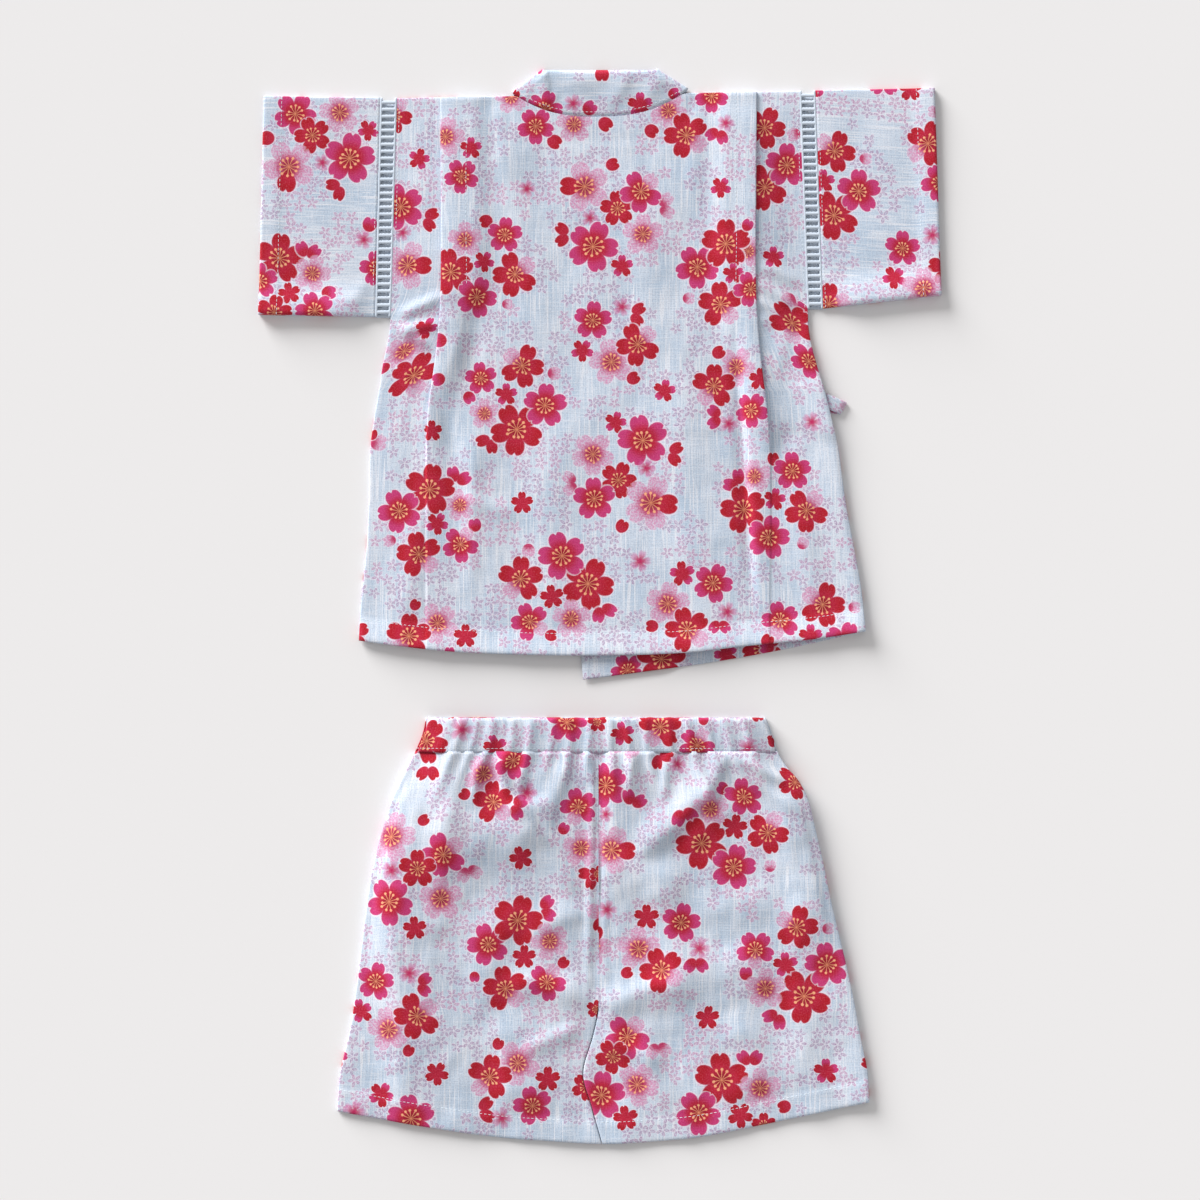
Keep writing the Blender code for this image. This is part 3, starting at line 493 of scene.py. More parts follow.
def inkInWeave(tree, printed, plain, spot, wear):
    # the ink sits on the yarns' crowns, so a little of the ground shows between them, and painted shade darkens
    # those gaps, over ground and ink alike; these gaps are drawn twice as coarse as they are, as the yarns are
    fine = put(tree, "TexNoise", spot, 1 / (slub["gap"] * mm), 1.0, 0.5)
    gaps = put(tree, "MapRange", fine, 0.5, 0.75, wear, wear + 0.06)
    # painted shade: the gaps between the yarns are darkened as though shaded
    shade = put(tree, "MapRange", fine, 0.52, 0.36, 0.0, 0.42)
    inked = put(tree, "Mix", gaps, printed, plain, data_type="RGBA")
    return put(tree, "Mix", shade, inked, slub["paintedGapShade"], data_type="RGBA", blend_type="MULTIPLY")


def newCotton(name, wear, groups):
    # slub cotton, plain woven and screen printed: soft and matt, with a little fuzz at glancing angles,
    # and ink that lets the yarns show; on the wrong side only part of it comes through
    slubCotton, tinyBlossoms, blossom = groups
    material, tree, shader = newMaterial(name, slub["roughness"], slub["specular"])
    spot = put(tree, "UVMap", uv_map="cut")
    ground = put(tree, "Group", spot, out=None, node_tree=slubCotton).outputs
    colour = put(tree, "Group", ground["Colour"], spot, node_tree=tinyBlossoms)
    for n in reversed(range(motifSlots)):
        marks = [put(tree, "Attribute", out=None, attribute_name=f"motif{n}{label}").outputs["Vector"]
                 for label in ("Place", "Style")]
        colour = put(tree, "Group", colour, spot, *marks, node_tree=blossom)
    colour = inkInWeave(tree, colour, ground["Colour"], spot, wear)
    tree.links.new(colour, shader.inputs["Base Color"])
    bump = put(tree, "Bump", slub["bump"], slub["bumpHeight"] * mm, None, ground["Height"])
    tree.links.new(bump, shader.inputs["Normal"])
    shader.inputs["Sheen Weight"].default_value = slub["sheen"]
    shader.inputs["Sheen Roughness"].default_value = slub["sheenRoughness"]
    return material


inks = (slubCottonGroup(), tinyBlossomGroup(), blossomGroup())
printedCotton = newCotton("printedSlubCotton", 0.0, inks)
printedCottonWrong = newCotton("printedSlubCottonWrongSide", 0.55, inks)
print("materials made")


# the set's measures: tables are (place, value) pairs, rising, in millimetres

layers = {"lower": 0.5, "turn": 1.2, "fold": 0.65, "turnSteps": 5, "quarter": math.radians(88), "seam": 0.15}
stand = {  # edges that spring up off the floor: how high, and how far in they start
    "side": 2.8, "sleeve": 4.2, "leg": 2.8, "reach": 26,
    "hem": 2.4, "hemReach": 18, "waist": 7.6, "waistReach": 262,
}
layers["middle"] = layers["lower"] + layers["turn"]
layers["upper"] = layers["lower"] + 2 * layers["turn"]

top = {
    "hem": -34.5, "shoulder": 358.0, "slope": 0.0176, "neckHalf": 57.5, "neckCorner": 60.8, "neckDip": 15.0,
    "underarm": 203.0, "hemFade": 70.0, "shoulderFade": 240.0,
    "backRise": 1.0, "crossedRise": 1.7, "tieRise": 1.4,
    "hemWidth": 15.4, "frontHemWidth": 14, "frontLeftShort": 4.0, "turnedUp": 22,
    "sides": {
        -1: [(-34.5, -169.0), (0, -167.0), (40, -163.5), (80, -161.8), (110, -161.0), (130, -158.5),
             (150, -155.0), (170, -152.0), (186, -148.5), (203, -146.5), (280, -144.2), (362, -141.9)],
        1: [(-34.5, 186.0), (0, 183.0), (40, 177.5), (80, 171.0), (110, 167.0), (130, 162.5), (150, 157.5),
            (170, 151.5), (186, 147.5), (203, 145.5), (280, 142.5), (362, 139.5)],
    },
    "backHem": [(-169, -24), (-140, -28), (-100, -32), (-50, -34), (0, -34.5), (60, -32.5), (100, -28),
                (150, -23), (186, -17.5)],
    "frontHem": [(-12, -51.5), (30, -46), (80, -39), (130, -30), (186, -17.5)],
    "frontEdges": {-1: (31.5, 31.5), 1: (-12.0, -29.0)},  # at the hem, and where the collar ends
    "collarEnd": 151.0, "collarFreeEnd": 237.0, "collarFreeHalf": 38.5, "collarTop": 374.2,
    "backRows": 142, "backSidePoints": 14, "backMiddlePoints": 66, "frontRows": 90, "frontPoints": 48,
}
tuck = {
    "radius": 0.66, "ease": 20.0,
    "turn": [(-60, 14), (40, 20), (80, 28), (104, 46), (122, 80), (136, 118), (146, 152), (153, 180),
             (362, 180)],
    -1: {"edge": [(-60, -121), (60, -121), (112, -121), (141, -119.5), (165, -116), (190, -113), (225, -111),
                  (362, -111.3)],
         "overhang": [(-60, 0), (146, 0.4), (153, 1), (175, 6), (200, 12), (228, 17), (362, 17)]},
    1: {"edge": [(-60, 118), (60, 119), (112, 118.5), (141, 116), (165, 113), (190, 110.5), (225, 108.6),
                 (362, 109.2)],
        "overhang": [(-60, 0), (146, 0.4), (153, 1), (175, 5), (200, 10), (228, 14), (362, 14)]},
}


def turned(n, rolled):
    # how far on and how much lower a cloth lies, n steps along its turn to a seam
    angle = rolled * layers["quarter"] * n / layers["turnSteps"]
    flat = layers["fold"] * n / layers["turnSteps"]
    return mix(flat, layers["fold"] * math.sin(angle), rolled), layers["turn"] * (1 - math.cos(angle))


def turnStart(edge, toward, rolled, seam=None):
    return edge - toward * (layers["fold"] + (layers["seam"] if seam is None else seam) + rolled * 0.4)


def allTurned(rolled):
    return [turned(n, rolled) for n in range(1, layers["turnSteps"] + 1)]


def sideEnd(point, toward, rolled):
    x, y, z = point
    fall = (z - layers["middle"]) / layers["turn"]
    return [(x + toward * out, y, z - fall * drop) for out, drop in allTurned(rolled)]


def shoulderEnd(row, rolledAt):
    # the last rows of a panel, turning over to the seam on the shoulder, or lying flat at the neck
    rows = [[] for n in range(layers["turnSteps"])]
    for x, y, z in row:
        for line, (out, drop) in zip(rows, allTurned(rolledAt(x))):
            line.append((x, y + out, z - drop * (z - layers["middle"]) / layers["turn"]))
    return rows


def halfTurn(start, y, toward, radius, middle):
    angles = steps(-math.pi / 2, math.pi / 2, 12)[1:-1]
    return [(start + toward * layers["fold"] * math.cos(a), y, middle + radius * math.sin(a)) for a in angles]


def hemRows(hem, end, count):
    # heights of a panel's rows, closer together where its hem rounds down
    return [hem, hem + 0.8, hem + 1.7] + steps(hem + 3.4, end, count)


def sideRolled(y):
    return 1 - smooth(top["underarm"] - 9, top["underarm"] - 2, y)


def shoulderAt(x):
    return top["shoulder"] + top["slope"] * x


def necklineAt(x):
    share = min(1.0, abs(x) / top["neckHalf"])
    return shoulderAt(x) - top["neckDip"] * (1 - share**2.6) - 0.9


def isNeck(x):
    return abs(x) < (top["neckHalf"] + top["neckCorner"]) / 2


def frontEdge(y, side):
    atHem, atCollar = top["frontEdges"][side]
    if y <= top["collarEnd"]:
        return mix(atCollar, atHem, max(0.0, (top["collarEnd"] - y) / (top["collarEnd"] - top["hem"])))
    share = (y - top["collarEnd"]) / (top["shoulder"] - top["collarEnd"])
    return mix(atCollar, side * top["neckCorner"], share)


def crossed(x, y):
    # 1 on the left front and its collar, falling to 0 beside them
    atCollar = top["frontEdges"][-1][1]
    slope = (top["collarTop"] - top["collarFreeEnd"]) / (top["collarFreeHalf"] + atCollar)
    free = top["collarTop"] - (x + top["collarFreeHalf"]) * slope
    return 1 - smooth(9, 30, max(x - atCollar, (y - free) / math.hypot(1, slope)))


ties = {
    "width": 9.0, "wall": 0.3, "thick": 0.48, "middles": {-1: 131.5, 1: 143.5}, "low": 0.5,
    "leftRun": (31.8, 142), "seam": ((158.6, -5.6), (158.2, 5)), "fold": ((167.0, -8.9), (171.4, -0.8)),
    "foldRadius": 1.1, "foldHeight": (1.65, 1.15), "rightRun": 100, "rightClimb": 3.0,
    "leftRows": 50, "outRows": 8, "foldRows": 10, "backRows": 39,
}


def tieLift(x, y):
    low, high = (ties["middles"][side] + side * ties["width"] / 2 for side in (-1, 1))
    return (top["tieRise"] * smooth(20, 31, x) * smooth(low - 16, low - 3, y)
            * (1 - smooth(high + 3, high + 16, y)))


def bandStep(inside, width):
    # a hem band stands a cloth higher, and its edge rounds down
    return 0.42 * (1 - smooth(width - 0.8, width + 0.8, inside)) - 0.5 * (1 - smooth(0, 1.6, inside)) ** 2


def puckers(along, inside, width, seed):
    # little pulls beside a line of stitching
    near = math.exp(-(((inside - width) / 3.2) ** 2))
    return near * (0.16 * noise.noise((along / 3.1, seed, 0)) + 0.22 * noise.noise((along / 8.5, seed, 4)))


# back of the top

backCreases = [
    (-119, 152, -124, 40, 0.8, 16, 6, 1.0),
    (-115, 149, -100, 104, -1.4, 5, 7, 0.0),
    (-110, 356, -110, 200, 0.5, 2.2, 1.4, 0.0),
    (-88, 205, -90, 158, -1.2, 6, 8, 0.0), (-88, 110, -90, 10, 1.1, 6, 5, 1.0),
    (-96, 120, -70, 20, 1.4, 15, 12, 2.0), (-96, 74, -58, 66, 0.9, 5, 7, 0.0),
    (-132, 60, -137, -10, 1.2, 9, 6, -2.0),
    (-141, 204, -112, 217, 2.5, 3.0, 4.0, 1.0), (-137, 193, -113, 197, 2.4, 2.6, 3.6, -1.0),
    (-143, 200, -121, 183, 2.6, 3.0, 4.0, 1.0), (-132, 188, -116, 170, -1.2, 3.0, 4.0, 0.0),
    (-96, 226, -101, 168, 0.9, 4, 6, 1.0),
    (-143, 168, -130, 150, 1.0, 3.0, 5.0, -1.0),
    (-30, 120, -34, -20, 1.1, 18, 14, 2.0), (-62, 330, -52, 220, 0.9, 14, 10, 1.0),
    (18, 60, 12, -30, 0.9, 14, 20, -2.0), (24, 300, 34, 190, 0.9, 16, 12, -1.0),
    (60, 160, 66, -10, 1.2, 16, 13, 2.0),
    (96, 180, 106, 14, -1.8, 2.4, 4.5, 0.6),
    (102, 176, 111, 20, 1.2, 9, 3.0, 0.6),
    (107.5, 352, 107.5, 212, 1.6, 12, 4.0, 0.0), (112, 176, 121, 96, 1.7, 5, 9, 1.0),
    (134, 124, 122, 104, -1.4, 7, 9, 0.0), (138, 90, 152, -5, 1.5, 12, 9, 2.0),
    (131, 196, 122, 150, 1.2, 5, 7, 1.0),
    (111, 227, 134, 211, 2.5, 3, 4, 1.0), (109, 215, 130, 203, 2.3, 2.6, 4, 0.0),
    (114, 238, 140, 224, 1.8, 3, 4, -1.0), (112, 202, 136, 196, 1.2, 3, 4, 0.0),
    (-72, 352, -66, 300, 0.7, 5, 8, 0.0),
    (70, 350, 64, 290, 0.7, 8, 5, 1.0),
]


def tuckPoints(edge, overhang, turn, outward):
    # from the middle of the back outwards: over to the folded edge, back under to the stitching and out again
    r = tuck["radius"]
    height = 4 * r * min(1, turn / math.radians(90))
    if turn > math.radians(179):
        length = overhang
    else:
        length = (height - 2 * r * (1 - math.cos(turn))) / math.sin(turn)
    fold = -2 * r * math.sin(turn) - length * math.cos(turn)
    crown = min(0, fold) - 3
    points = [(mix(-tuck["ease"], crown, n / 8), height * smooth(0, 1, n / 8)) for n in range(9)]
    points += [(mix(crown, fold, n / 2), height) for n in (1, 2)]
    points += [(fold + r * math.sin(a), height - r + r * math.cos(a)) for a in steps(0, turn, 6)[1:]]
    x1, z1 = points[-1]
    x2, z2 = -r * math.sin(turn), r - r * math.cos(turn)
    points += [(mix(x1, x2, n / 6), mix(z1, z2, n / 6)) for n in range(1, 7)]
    points += [(-r * math.sin(a), r - r * math.cos(a)) for a in steps(turn, 0, 6)[1:]]
    return [(edge + outward * (across - fold - r), lift) for across, lift in points]


def backHeight(x, y):
    end = necklineAt(x) if isNeck(x) else shoulderAt(x)
    inside = min(x - curveAt(top["sides"][-1], y), curveAt(top["sides"][1], y) - x, end - y)
    neck = smooth(top["neckCorner"] + 6, top["neckHalf"], abs(x)) * smooth(298, 338, y)
    rise = layers["upper"] + max(top["backRise"] * max(smooth(2, 24, inside), neck), tieLift(x, y))
    soft = smooth(1, 14, inside)
    fromSide = curveAt(top["sides"][1], y) - x
    rise += stand["side"] * (1 - smooth(0, stand["reach"], fromSide)) * smooth(top["underarm"], 175, y)
    rise += soft * (0.85 * wobble(x, y * 0.7, 30, 1) + 0.22 * wobble(x, y, 9, 2))
    return rise, inside, soft


def rowHeight(y, end, x, hem):
    toHem = (curveAt(hem, x) - top["hem"]) * (1 - smooth(top["hem"], top["hemFade"], y))
    return y + toHem + (end - top["shoulder"]) * smooth(top["shoulderFade"], top["shoulder"], y)


def runAcross(row):
    # how far along a section each of its points lies
    run = [0.0]
    for a, b in zip(row, row[1:]):
        run.append(run[-1] + math.dist((a[0], a[2]), (b[0], b[2])))
    return run


def sectionCuts(rows, base=0):
    # places on the flat cut cloth: across from the column base, and up
    cuts = []
    for row in rows:
        run = runAcross(row)
        start = run[base] - row[base][0]
        cuts.append([(r - start, p[1]) for r, p in zip(run, row)])
    return cuts


def backRows():
    rows = []
    for y in hemRows(top["hem"], top["shoulder"], top["backRows"]):
        turn = math.radians(curveAt(tuck["turn"], y))
        tucks = {
            side: tuckPoints(curveAt(tuck[side]["edge"], y), curveAt(tuck[side]["overhang"], y), turn, side)
            for side in (-1, 1)}
        starts = {side: turnStart(curveAt(top["sides"][side], y), side, sideRolled(y)) for side in (-1, 1)}
        left, right = tucks[-1][::-1], tucks[1]
        beside, between = top["backSidePoints"], top["backMiddlePoints"]
        section = [(x, 0) for x in steps(starts[-1], left[0][0], beside)[:-1]] + left
        section += [(x, 0) for x in steps(left[-1][0], right[0][0], between)[1:-1]] + right
        section += [(x, 0) for x in steps(right[-1][0], starts[1], beside)[1:]]
        row = []
        for x, lift in section:
            end = turnStart(necklineAt(x) if isNeck(x) else shoulderAt(x), 1, 0 if isNeck(x) else 1)
            place = rowHeight(y, end, x, top["backHem"])
            rise, inside, soft = backHeight(x, place)
            fromHem = place - curveAt(top["backHem"], x)
            rise += soft * creaseLift(backCreases, x, place)
            rise += stand["hem"] * (1 - smooth(0, stand["hemReach"], fromHem))
            rise += bandStep(fromHem, top["hemWidth"]) + puckers(x, fromHem, top["hemWidth"], 3)
            row.append((x, place, rise + lift))
        leftEnd, rightEnd = sideEnd(row[0], -1, sideRolled(y)), sideEnd(row[-1], 1, sideRolled(y))
        rows.append(leftEnd[::-1] + row + rightEnd)
    return rows + shoulderEnd(rows[-1], lambda x: 0 if isNeck(x) else 1)


def frontRows(side):
    # a front lies face down under the back, so its wrong side is up
    hem, rise = (top["backHem"], top["frontLeftShort"]) if side < 0 else (top["frontHem"], 0.0)
    rows = []
    for y in hemRows(top["hem"], top["shoulder"], top["frontRows"]):
        start = turnStart(curveAt(top["sides"][side], y), side, sideRolled(y))
        row = []
        for x in steps(frontEdge(y, side) + side * layers["seam"], start, top["frontPoints"]):
            place = rowHeight(y, turnStart(shoulderAt(x), 1, 1), x, hem)
            place += rise * (1 - smooth(top["hem"], top["hemFade"], y))
            lift = max(top["crossedRise"] * crossed(x, place), tieLift(x, place)) if side > 0 else 0
            fromHem = place - curveAt(hem, x) - rise
            lift += max(-0.2, bandStep(fromHem, top["frontHemWidth"])) * 0.6 + 0.12 * wobble(x, place, 22, 5)
            row.append((x, place, layers["lower"] + max(0.0, lift)))
        rows.append(row + sideEnd(row[-1], side, sideRolled(y)))
    return rows + shoulderEnd(rows[-1], lambda x: 1)


# collar band: a cloth folded double, from the left front's edge round the neck to the right one's

collar = {
    "turn": 1.6, "half": 0.7, "neckHalf": 56.5, "arch": 1.6,
    "points": 12, "frontRows": 40, "turnRows": 8, "neckRows": 56,
}
collarCreases = [
    (-35.5, 358, -39, 374, 1.5, 9, 1.1, 0.0),
    (-41, 351, -30, 357, 1.0, 3.5, 3.0, 0.0),
    (-47, 352, -45, 366, -0.7, 3, 4, 0.0),
    (-26, 352, -6, 349, 0.6, 4, 6, 1.0),
    (8, 350, 20, 371, 1.0, 8, 3.5, 1.0),
    (30, 352, 44, 370, 0.9, 5, 6, 0.0),
    (-22, 366, 4, 369, 0.5, 4, 5, 0.0),
]


def collarRows():
    low, high = collar["half"], collar["half"] + 2 * collar["turn"]
    rows, cuts, run, last = [], [], [0.0], []

    def add(sewn, free, height, onward, out=(0, 0), level=None):
        gap = (free - sewn).normalized() * layers["seam"]
        if last:
            run[0] += onward.dot(sewn - last.pop())
        last.append(sewn)
        row, cut = [], []
        for share in steps(0, 1, collar["points"]):
            place = (sewn + gap).lerp(free, share)
            across = place - sewn
            row.append((place.x + out[0], place.y + out[1], height(place, share)))
            up = abs(onward.cross(across)) if level is None else place.y - level
            cut.append((up, -run[0] - onward.dot(across)))
        rows.append(row)
        cuts.append(cut)

    def corner(side):
        return Vector((side * top["neckCorner"], shoulderAt(side * top["neckCorner"]) + 1))

    def freeCorner(side):
        return Vector((side * top["collarFreeHalf"], top["collarTop"]))

    def frontPart(side):
        x = top["frontEdges"][side][1]
        sewnEnd, freeEnd = Vector((x, top["collarEnd"])), Vector((x, top["collarFreeEnd"]))
        onward = (sewnEnd - corner(side)).normalized() * side
        for share in steps(0, 1, collar["frontRows"])[:-1]:
            yield sewnEnd.lerp(corner(side), share), freeEnd.lerp(freeCorner(side), share), onward

    def turnOver(side):
        sewn, free, level = corner(side), freeCorner(side), necklineAt(0)
        along = (free - sewn).normalized()
        outward = Vector((along.y * side, -along.x * side))
        angles = steps(-math.pi / 2, math.pi / 2, collar["turnRows"])
        for angle in angles if side < 0 else reversed(angles):
            height = (low + high) / 2 + collar["turn"] * math.sin(angle)
            out = outward * collar["turn"] * math.cos(angle)
            add(sewn, free, lambda place, share: height, Vector((1, 0)), out, level)
            run[0] += collar["turn"] * math.pi / (collar["turnRows"] - 1)

    def lying(place, share):
        lift = creaseLift(collarCreases, place.x, place.y) + 0.35 * wobble(place.x, place.y, 14, 8)
        lift += (collar["arch"] * smooth(0, 0.85, share) - 0.4 * (1 - smooth(0, 0.1, share))
                 - 0.6 * smooth(0.92, 1, share))
        return high + lift * smooth(58, 48, abs(place.x))

    for sewn, free, onward in frontPart(-1):
        add(sewn, free, lambda place, share: low, onward)
    turnOver(-1)
    for x in steps(-collar["neckHalf"], collar["neckHalf"], collar["neckRows"]):
        sewn = Vector((x, necklineAt(x) - 0.1))
        share = (x + top["neckCorner"]) / 2 / top["neckCorner"]
        add(sewn, freeCorner(-1).lerp(freeCorner(1), share), lying, Vector((1, 0)), level=necklineAt(0))
    turnOver(1)
    for sewn, free, onward in reversed(list(frontPart(1))):
        add(sewn, free, lambda place, share: low + top["crossedRise"] * crossed(place.x, place.y), onward)
    return rows, cuts


# sleeves, folded at the shoulder line and sewn along the underarm

# armholes: heights of top and bottom, then where the lace ends at each;
# cuffs: across and height at the top, then at the bottom
armholes = {-1: (355.6, 201.8, -153.4, -157.0), 1: (360.6, 207.6, 150.4, 155.8)}
cuffs = {-1: (-235.2, 356.8, -238.7, 203.2), 1: (233.8, 362.4, 238.7, 216.8)}
sleeve = {
    "hemWidth": 13.0, "stitches": 12.8, "cuffLift": 0.45, "cuffReach": 20, "wobble": 0.4,
    "rows": 29, "frontPoints": 50, "backPoints": 52,
}
sleeveCreases = {
    -1: [(-165, 212, -192, 206, 0.8, 4, 5, 1.0), (-163, 225, -175, 211, 0.7, 4, 5, 0.0),
         (-196, 350, -205, 250, 0.4, 14, 18, 3.0), (-228, 300, -222, 230, 0.4, 6, 8, 0.0)],
    1: [(166, 214, 190, 216, 0.8, 5, 4, 1.0), (160, 232, 172, 216, 0.7, 4, 5, 0.0),
        (196, 350, 203, 250, 0.4, 18, 14, -3.0), (176, 330, 172, 280, -0.4, 7, 9, 0.0)],
}


def laceOuter(y, side):
    high, low, atHigh, atLow = armholes[side]
    return mix(atLow, atHigh, (y - low) / (high - low))


def sleeveRows(side):
    high, low, _, _ = armholes[side]
    cuffHighX, cuffHigh, cuffLowX, cuffLow = cuffs[side]
    rows, cuts = [], []
    for share in [0] + steps(0.02, 0.97, sleeve["rows"]) + [0.985, 1]:
        bottom, topY = mix(low, cuffLow, share), mix(high, cuffHigh, share)
        start, fold = turnStart(bottom, -1, 1), topY - layers["fold"] - 0.3
        ends = allTurned(1)
        section = [(start - out, layers["lower"] + drop) for out, drop in reversed(ends)]
        section += [(y, layers["lower"]) for y in steps(start, fold, sleeve["frontPoints"])]
        section += [(y, z) for y, _, z in halfTurn(fold, 0, 1, layers["turn"], layers["middle"])]
        section += [(y, layers["upper"]) for y in steps(fold, start, sleeve["backPoints"])]
        section += [(start - out, layers["upper"] - drop) for out, drop in ends]
        row, cut, run = [], [], 0.0
        for n, (y, z) in enumerate(section):
            reach = (y - low) / (high - low)
            inner = laceOuter(y, side) + side * layers["seam"]
            edge = mix(cuffLowX, cuffHighX, reach)
            x = mix(inner, edge, share)
            fromCuff = (edge - x) * side
            inside = smooth(1, 12, min(y - start, fold - y + 4)) if z > layers["middle"] else 0
            fromLace = (x - inner) * side
            lift = inside * smooth(0, 8, fromLace) * (creaseLift(sleeveCreases[side], x, y)
                                                      + sleeve["wobble"] * wobble(x, y, 26, 11 + side))
            lift += bandStep(fromCuff, sleeve["hemWidth"]) + puckers(y, fromCuff, sleeve["hemWidth"], 5 + side)
            atCuff = sleeve["cuffLift"] * (1 - smooth(0, sleeve["cuffReach"], fromCuff)) * (side > 0)
            lift += (stand["sleeve"] * max(1 - smooth(0, stand["reach"], y - start), atCuff)
                     * smooth(0, 26, fromLace))
            if z > layers["middle"]:
                z += lift * (z - layers["middle"]) / layers["turn"]
            if n:
                run += math.dist((y, z), (section[n - 1][0], row[-1][2]))
            row.append((x, y, max(0.3, z)))
            cut.append((run, x))
        rows.append(row)
        cuts.append(cut)
    if side < 0:
        rows, cuts = rows[::-1], cuts[::-1]
    return rows, cuts


# shorts

shorts = {
    "waistTop": -77.9, "casingBottom": -102.0, "crotch": -279.0, "hem": -376.0, "rise": 0.5,
    "hemWidth": 15.4, "hemFade": -290, "eased": 160.0, "creases": 1.3, "wobble": 1.3, "crumple": 0.38,
    "waistStitches": -99.2, "rows": 102, "frontPoints": 48, "backPoints": 76,
    "sides": {
        -1: [(-376, -184.0), (-346, -182.5), (-318, -179.0), (-290, -174.0), (-262, -170.0), (-234, -166.5),
             (-206, -163.0), (-180, -158.5), (-150, -150.5), (-136, -146.0), (-122, -139.5), (-112, -134.5),
             (-102, -129.5), (-90, -124.5), (-77, -121.5)],
        1: [(-376, 188.6), (-346, 187.3), (-318, 184.5), (-290, 180.5), (-262, 175.0), (-234, 168.5),
            (-206, 161.8), (-180, 156.5), (-150, 149.5), (-136, 146.0), (-122, 139.0), (-112, 130.5),
            (-102, 124.5), (-90, 120.8), (-77, 115.5)],
    },
    "hemline": [(-184, -353), (-158, -357.7), (-122, -364), (-70, -371.5), (-35, -374), (0, -376), (35, -374.5),
                (70, -371), (119, -361.5), (163, -352), (188, -346.5)],
    "inner": [(-376, 1.4), (-350, -6), (-327, -12), (-300, -5), (-279, -1), (-200, -1), (-77, -1)],
}
gathers = [  # across, width to the left and to the right, height, how far down each runs
    (-104, 3.0, 4.6, 2.3, 50), (-92, 2.4, 3.4, 1.5, 26), (-80, 3.6, 2.8, 2.1, 34), (-65, 3.0, 3.8, 1.8, 24),
    (-51, 2.6, 3.8, 2.5, 46), (-36, 2.8, 3.0, 1.4, 20), (-22, 3.6, 2.8, 2.0, 32), (-9, 2.4, 3.2, 2.2, 28),
    (8, 3.2, 2.6, 2.3, 30), (20, 2.6, 3.0, 1.6, 22), (34, 3.0, 3.8, 2.0, 40), (50, 3.4, 2.6, 1.8, 26),
    (65, 3.0, 4.0, 2.6, 52), (79, 3.2, 2.6, 1.7, 24), (93, 2.6, 3.8, 2.2, 36), (107, 2.8, 3.0, 1.5, 22),
]
shortsCreases = [
    (-100, -118, -112, -190, 1.8, 8, 11, 2.0),
    (-72, -104, -67, -130, 2.6, 9, 2.4, 0.0), (-67, -129, -42, -160, 2.8, 2.6, 13, -2.0),
    (-61, -106, -54, -124, 1.5, 3, 4, 0.0), (-84, -108, -88, -136, 1.6, 5, 3, 1.0),
    (-108, -146, -46, -162, 3.2, 15, 24, 4.0), (-40, -158, -20, -196, 1.8, 9, 7, 2.0),
    (-64, -140, -36, -136, 1.6, 4, 8, 1.0), (-24, -112, -36, -150, 1.7, 5, 8, 0.0),
    (-8, -102, -6, -122, 1.6, 3.0, 4.0, 0.0),
    (8, -104, 12, -165, 2.4, 22, 6, 0.0), (24, -104, 20, -130, 1.5, 4, 3, 1.0),
    (74, -127, 30, -170, 3.8, 7, 13, -2.0), (2, -180, 56, -190, 2.8, 13, 22, 0.0),
    (46, -106, 44, -134, 1.9, 5, 3, 0.0), (88, -104, 76, -140, 2.2, 4, 8, 2.0),
    (96, -106, 128, -122, 2.3, 4, 5, 0.0), (104, -117, 134, -140, 2.0, 5, 6, 1.0),
    (96, -140, 60, -168, 1.6, 8, 12, 3.0),
    (-84, -176, -62, -216, -1.4, 14, 13, 3.0), (-140, -196, -112, -226, 1.6, 10, 18, 3.0),
    (132, -142, 146, -235, 2.6, 26, 14, 0.0),
    (38, -196, 60, -250, 1.8, 14, 12, 3.0), (-14, -214, -46, -226, 1.4, 8, 12, 2.0),
    (40, -262, 116, -250, 2.8, 16, 26, 0.0), (70, -214, 120, -206, 1.5, 12, 16, 0.0),
    (-60, -205, -84, -280, 2.0, 13, 18, 4.0), (-66, -290, -62, -350, 2.4, 26, 12, 0.0),
    (96, -290, 104, -340, 2.0, 12, 18, -3.0), (30, -296, 44, -352, 1.4, 10, 8, 2.0),
    (-14, -272, -60, -262, 2.0, 10, 8, 2.0), (4, -278, 60, -264, 2.4, 8, 12, -2.0),
    (4, -300, 40, -318, 1.6, 5, 8, 1.0), (-18, -296, -52, -310, 1.5, 7, 5, 1.0),
    (-136, -340, -146, -140, 3.6, 14, 50, 0.0), (-5, -112, -9, -258, 1.2, 3.0, 1.8, 0.0),
    (1.5, -112, -2, -258, -0.8, 1.8, 3.5, 0.0), (142, -330, 136, -240, 1.4, 12, 16, 2.0),
]


def gathersAt(x, down):
    lift = 0.0
    for across, leftWidth, rightWidth, height, reach in gathers:
        width = leftWidth if x < across else rightWidth
        if abs(x - across) < 3 * width:
            lift += height * math.exp(-(((x - across) / width) ** 2)) * (1 - smooth(0, reach, down))
    return lift


def seamBand(x, y):
    # the seam allowances under the seam at the middle of the back press through as a low band
    side = 0.5 * (1 - smooth(2.6, 4.2, abs(x - 2.2)))
    return side * smooth(-282, -262, y) + 0.3 * noise.noise((x / 3, y / 5.5, 2)) * math.exp(-((x / 7) ** 2))


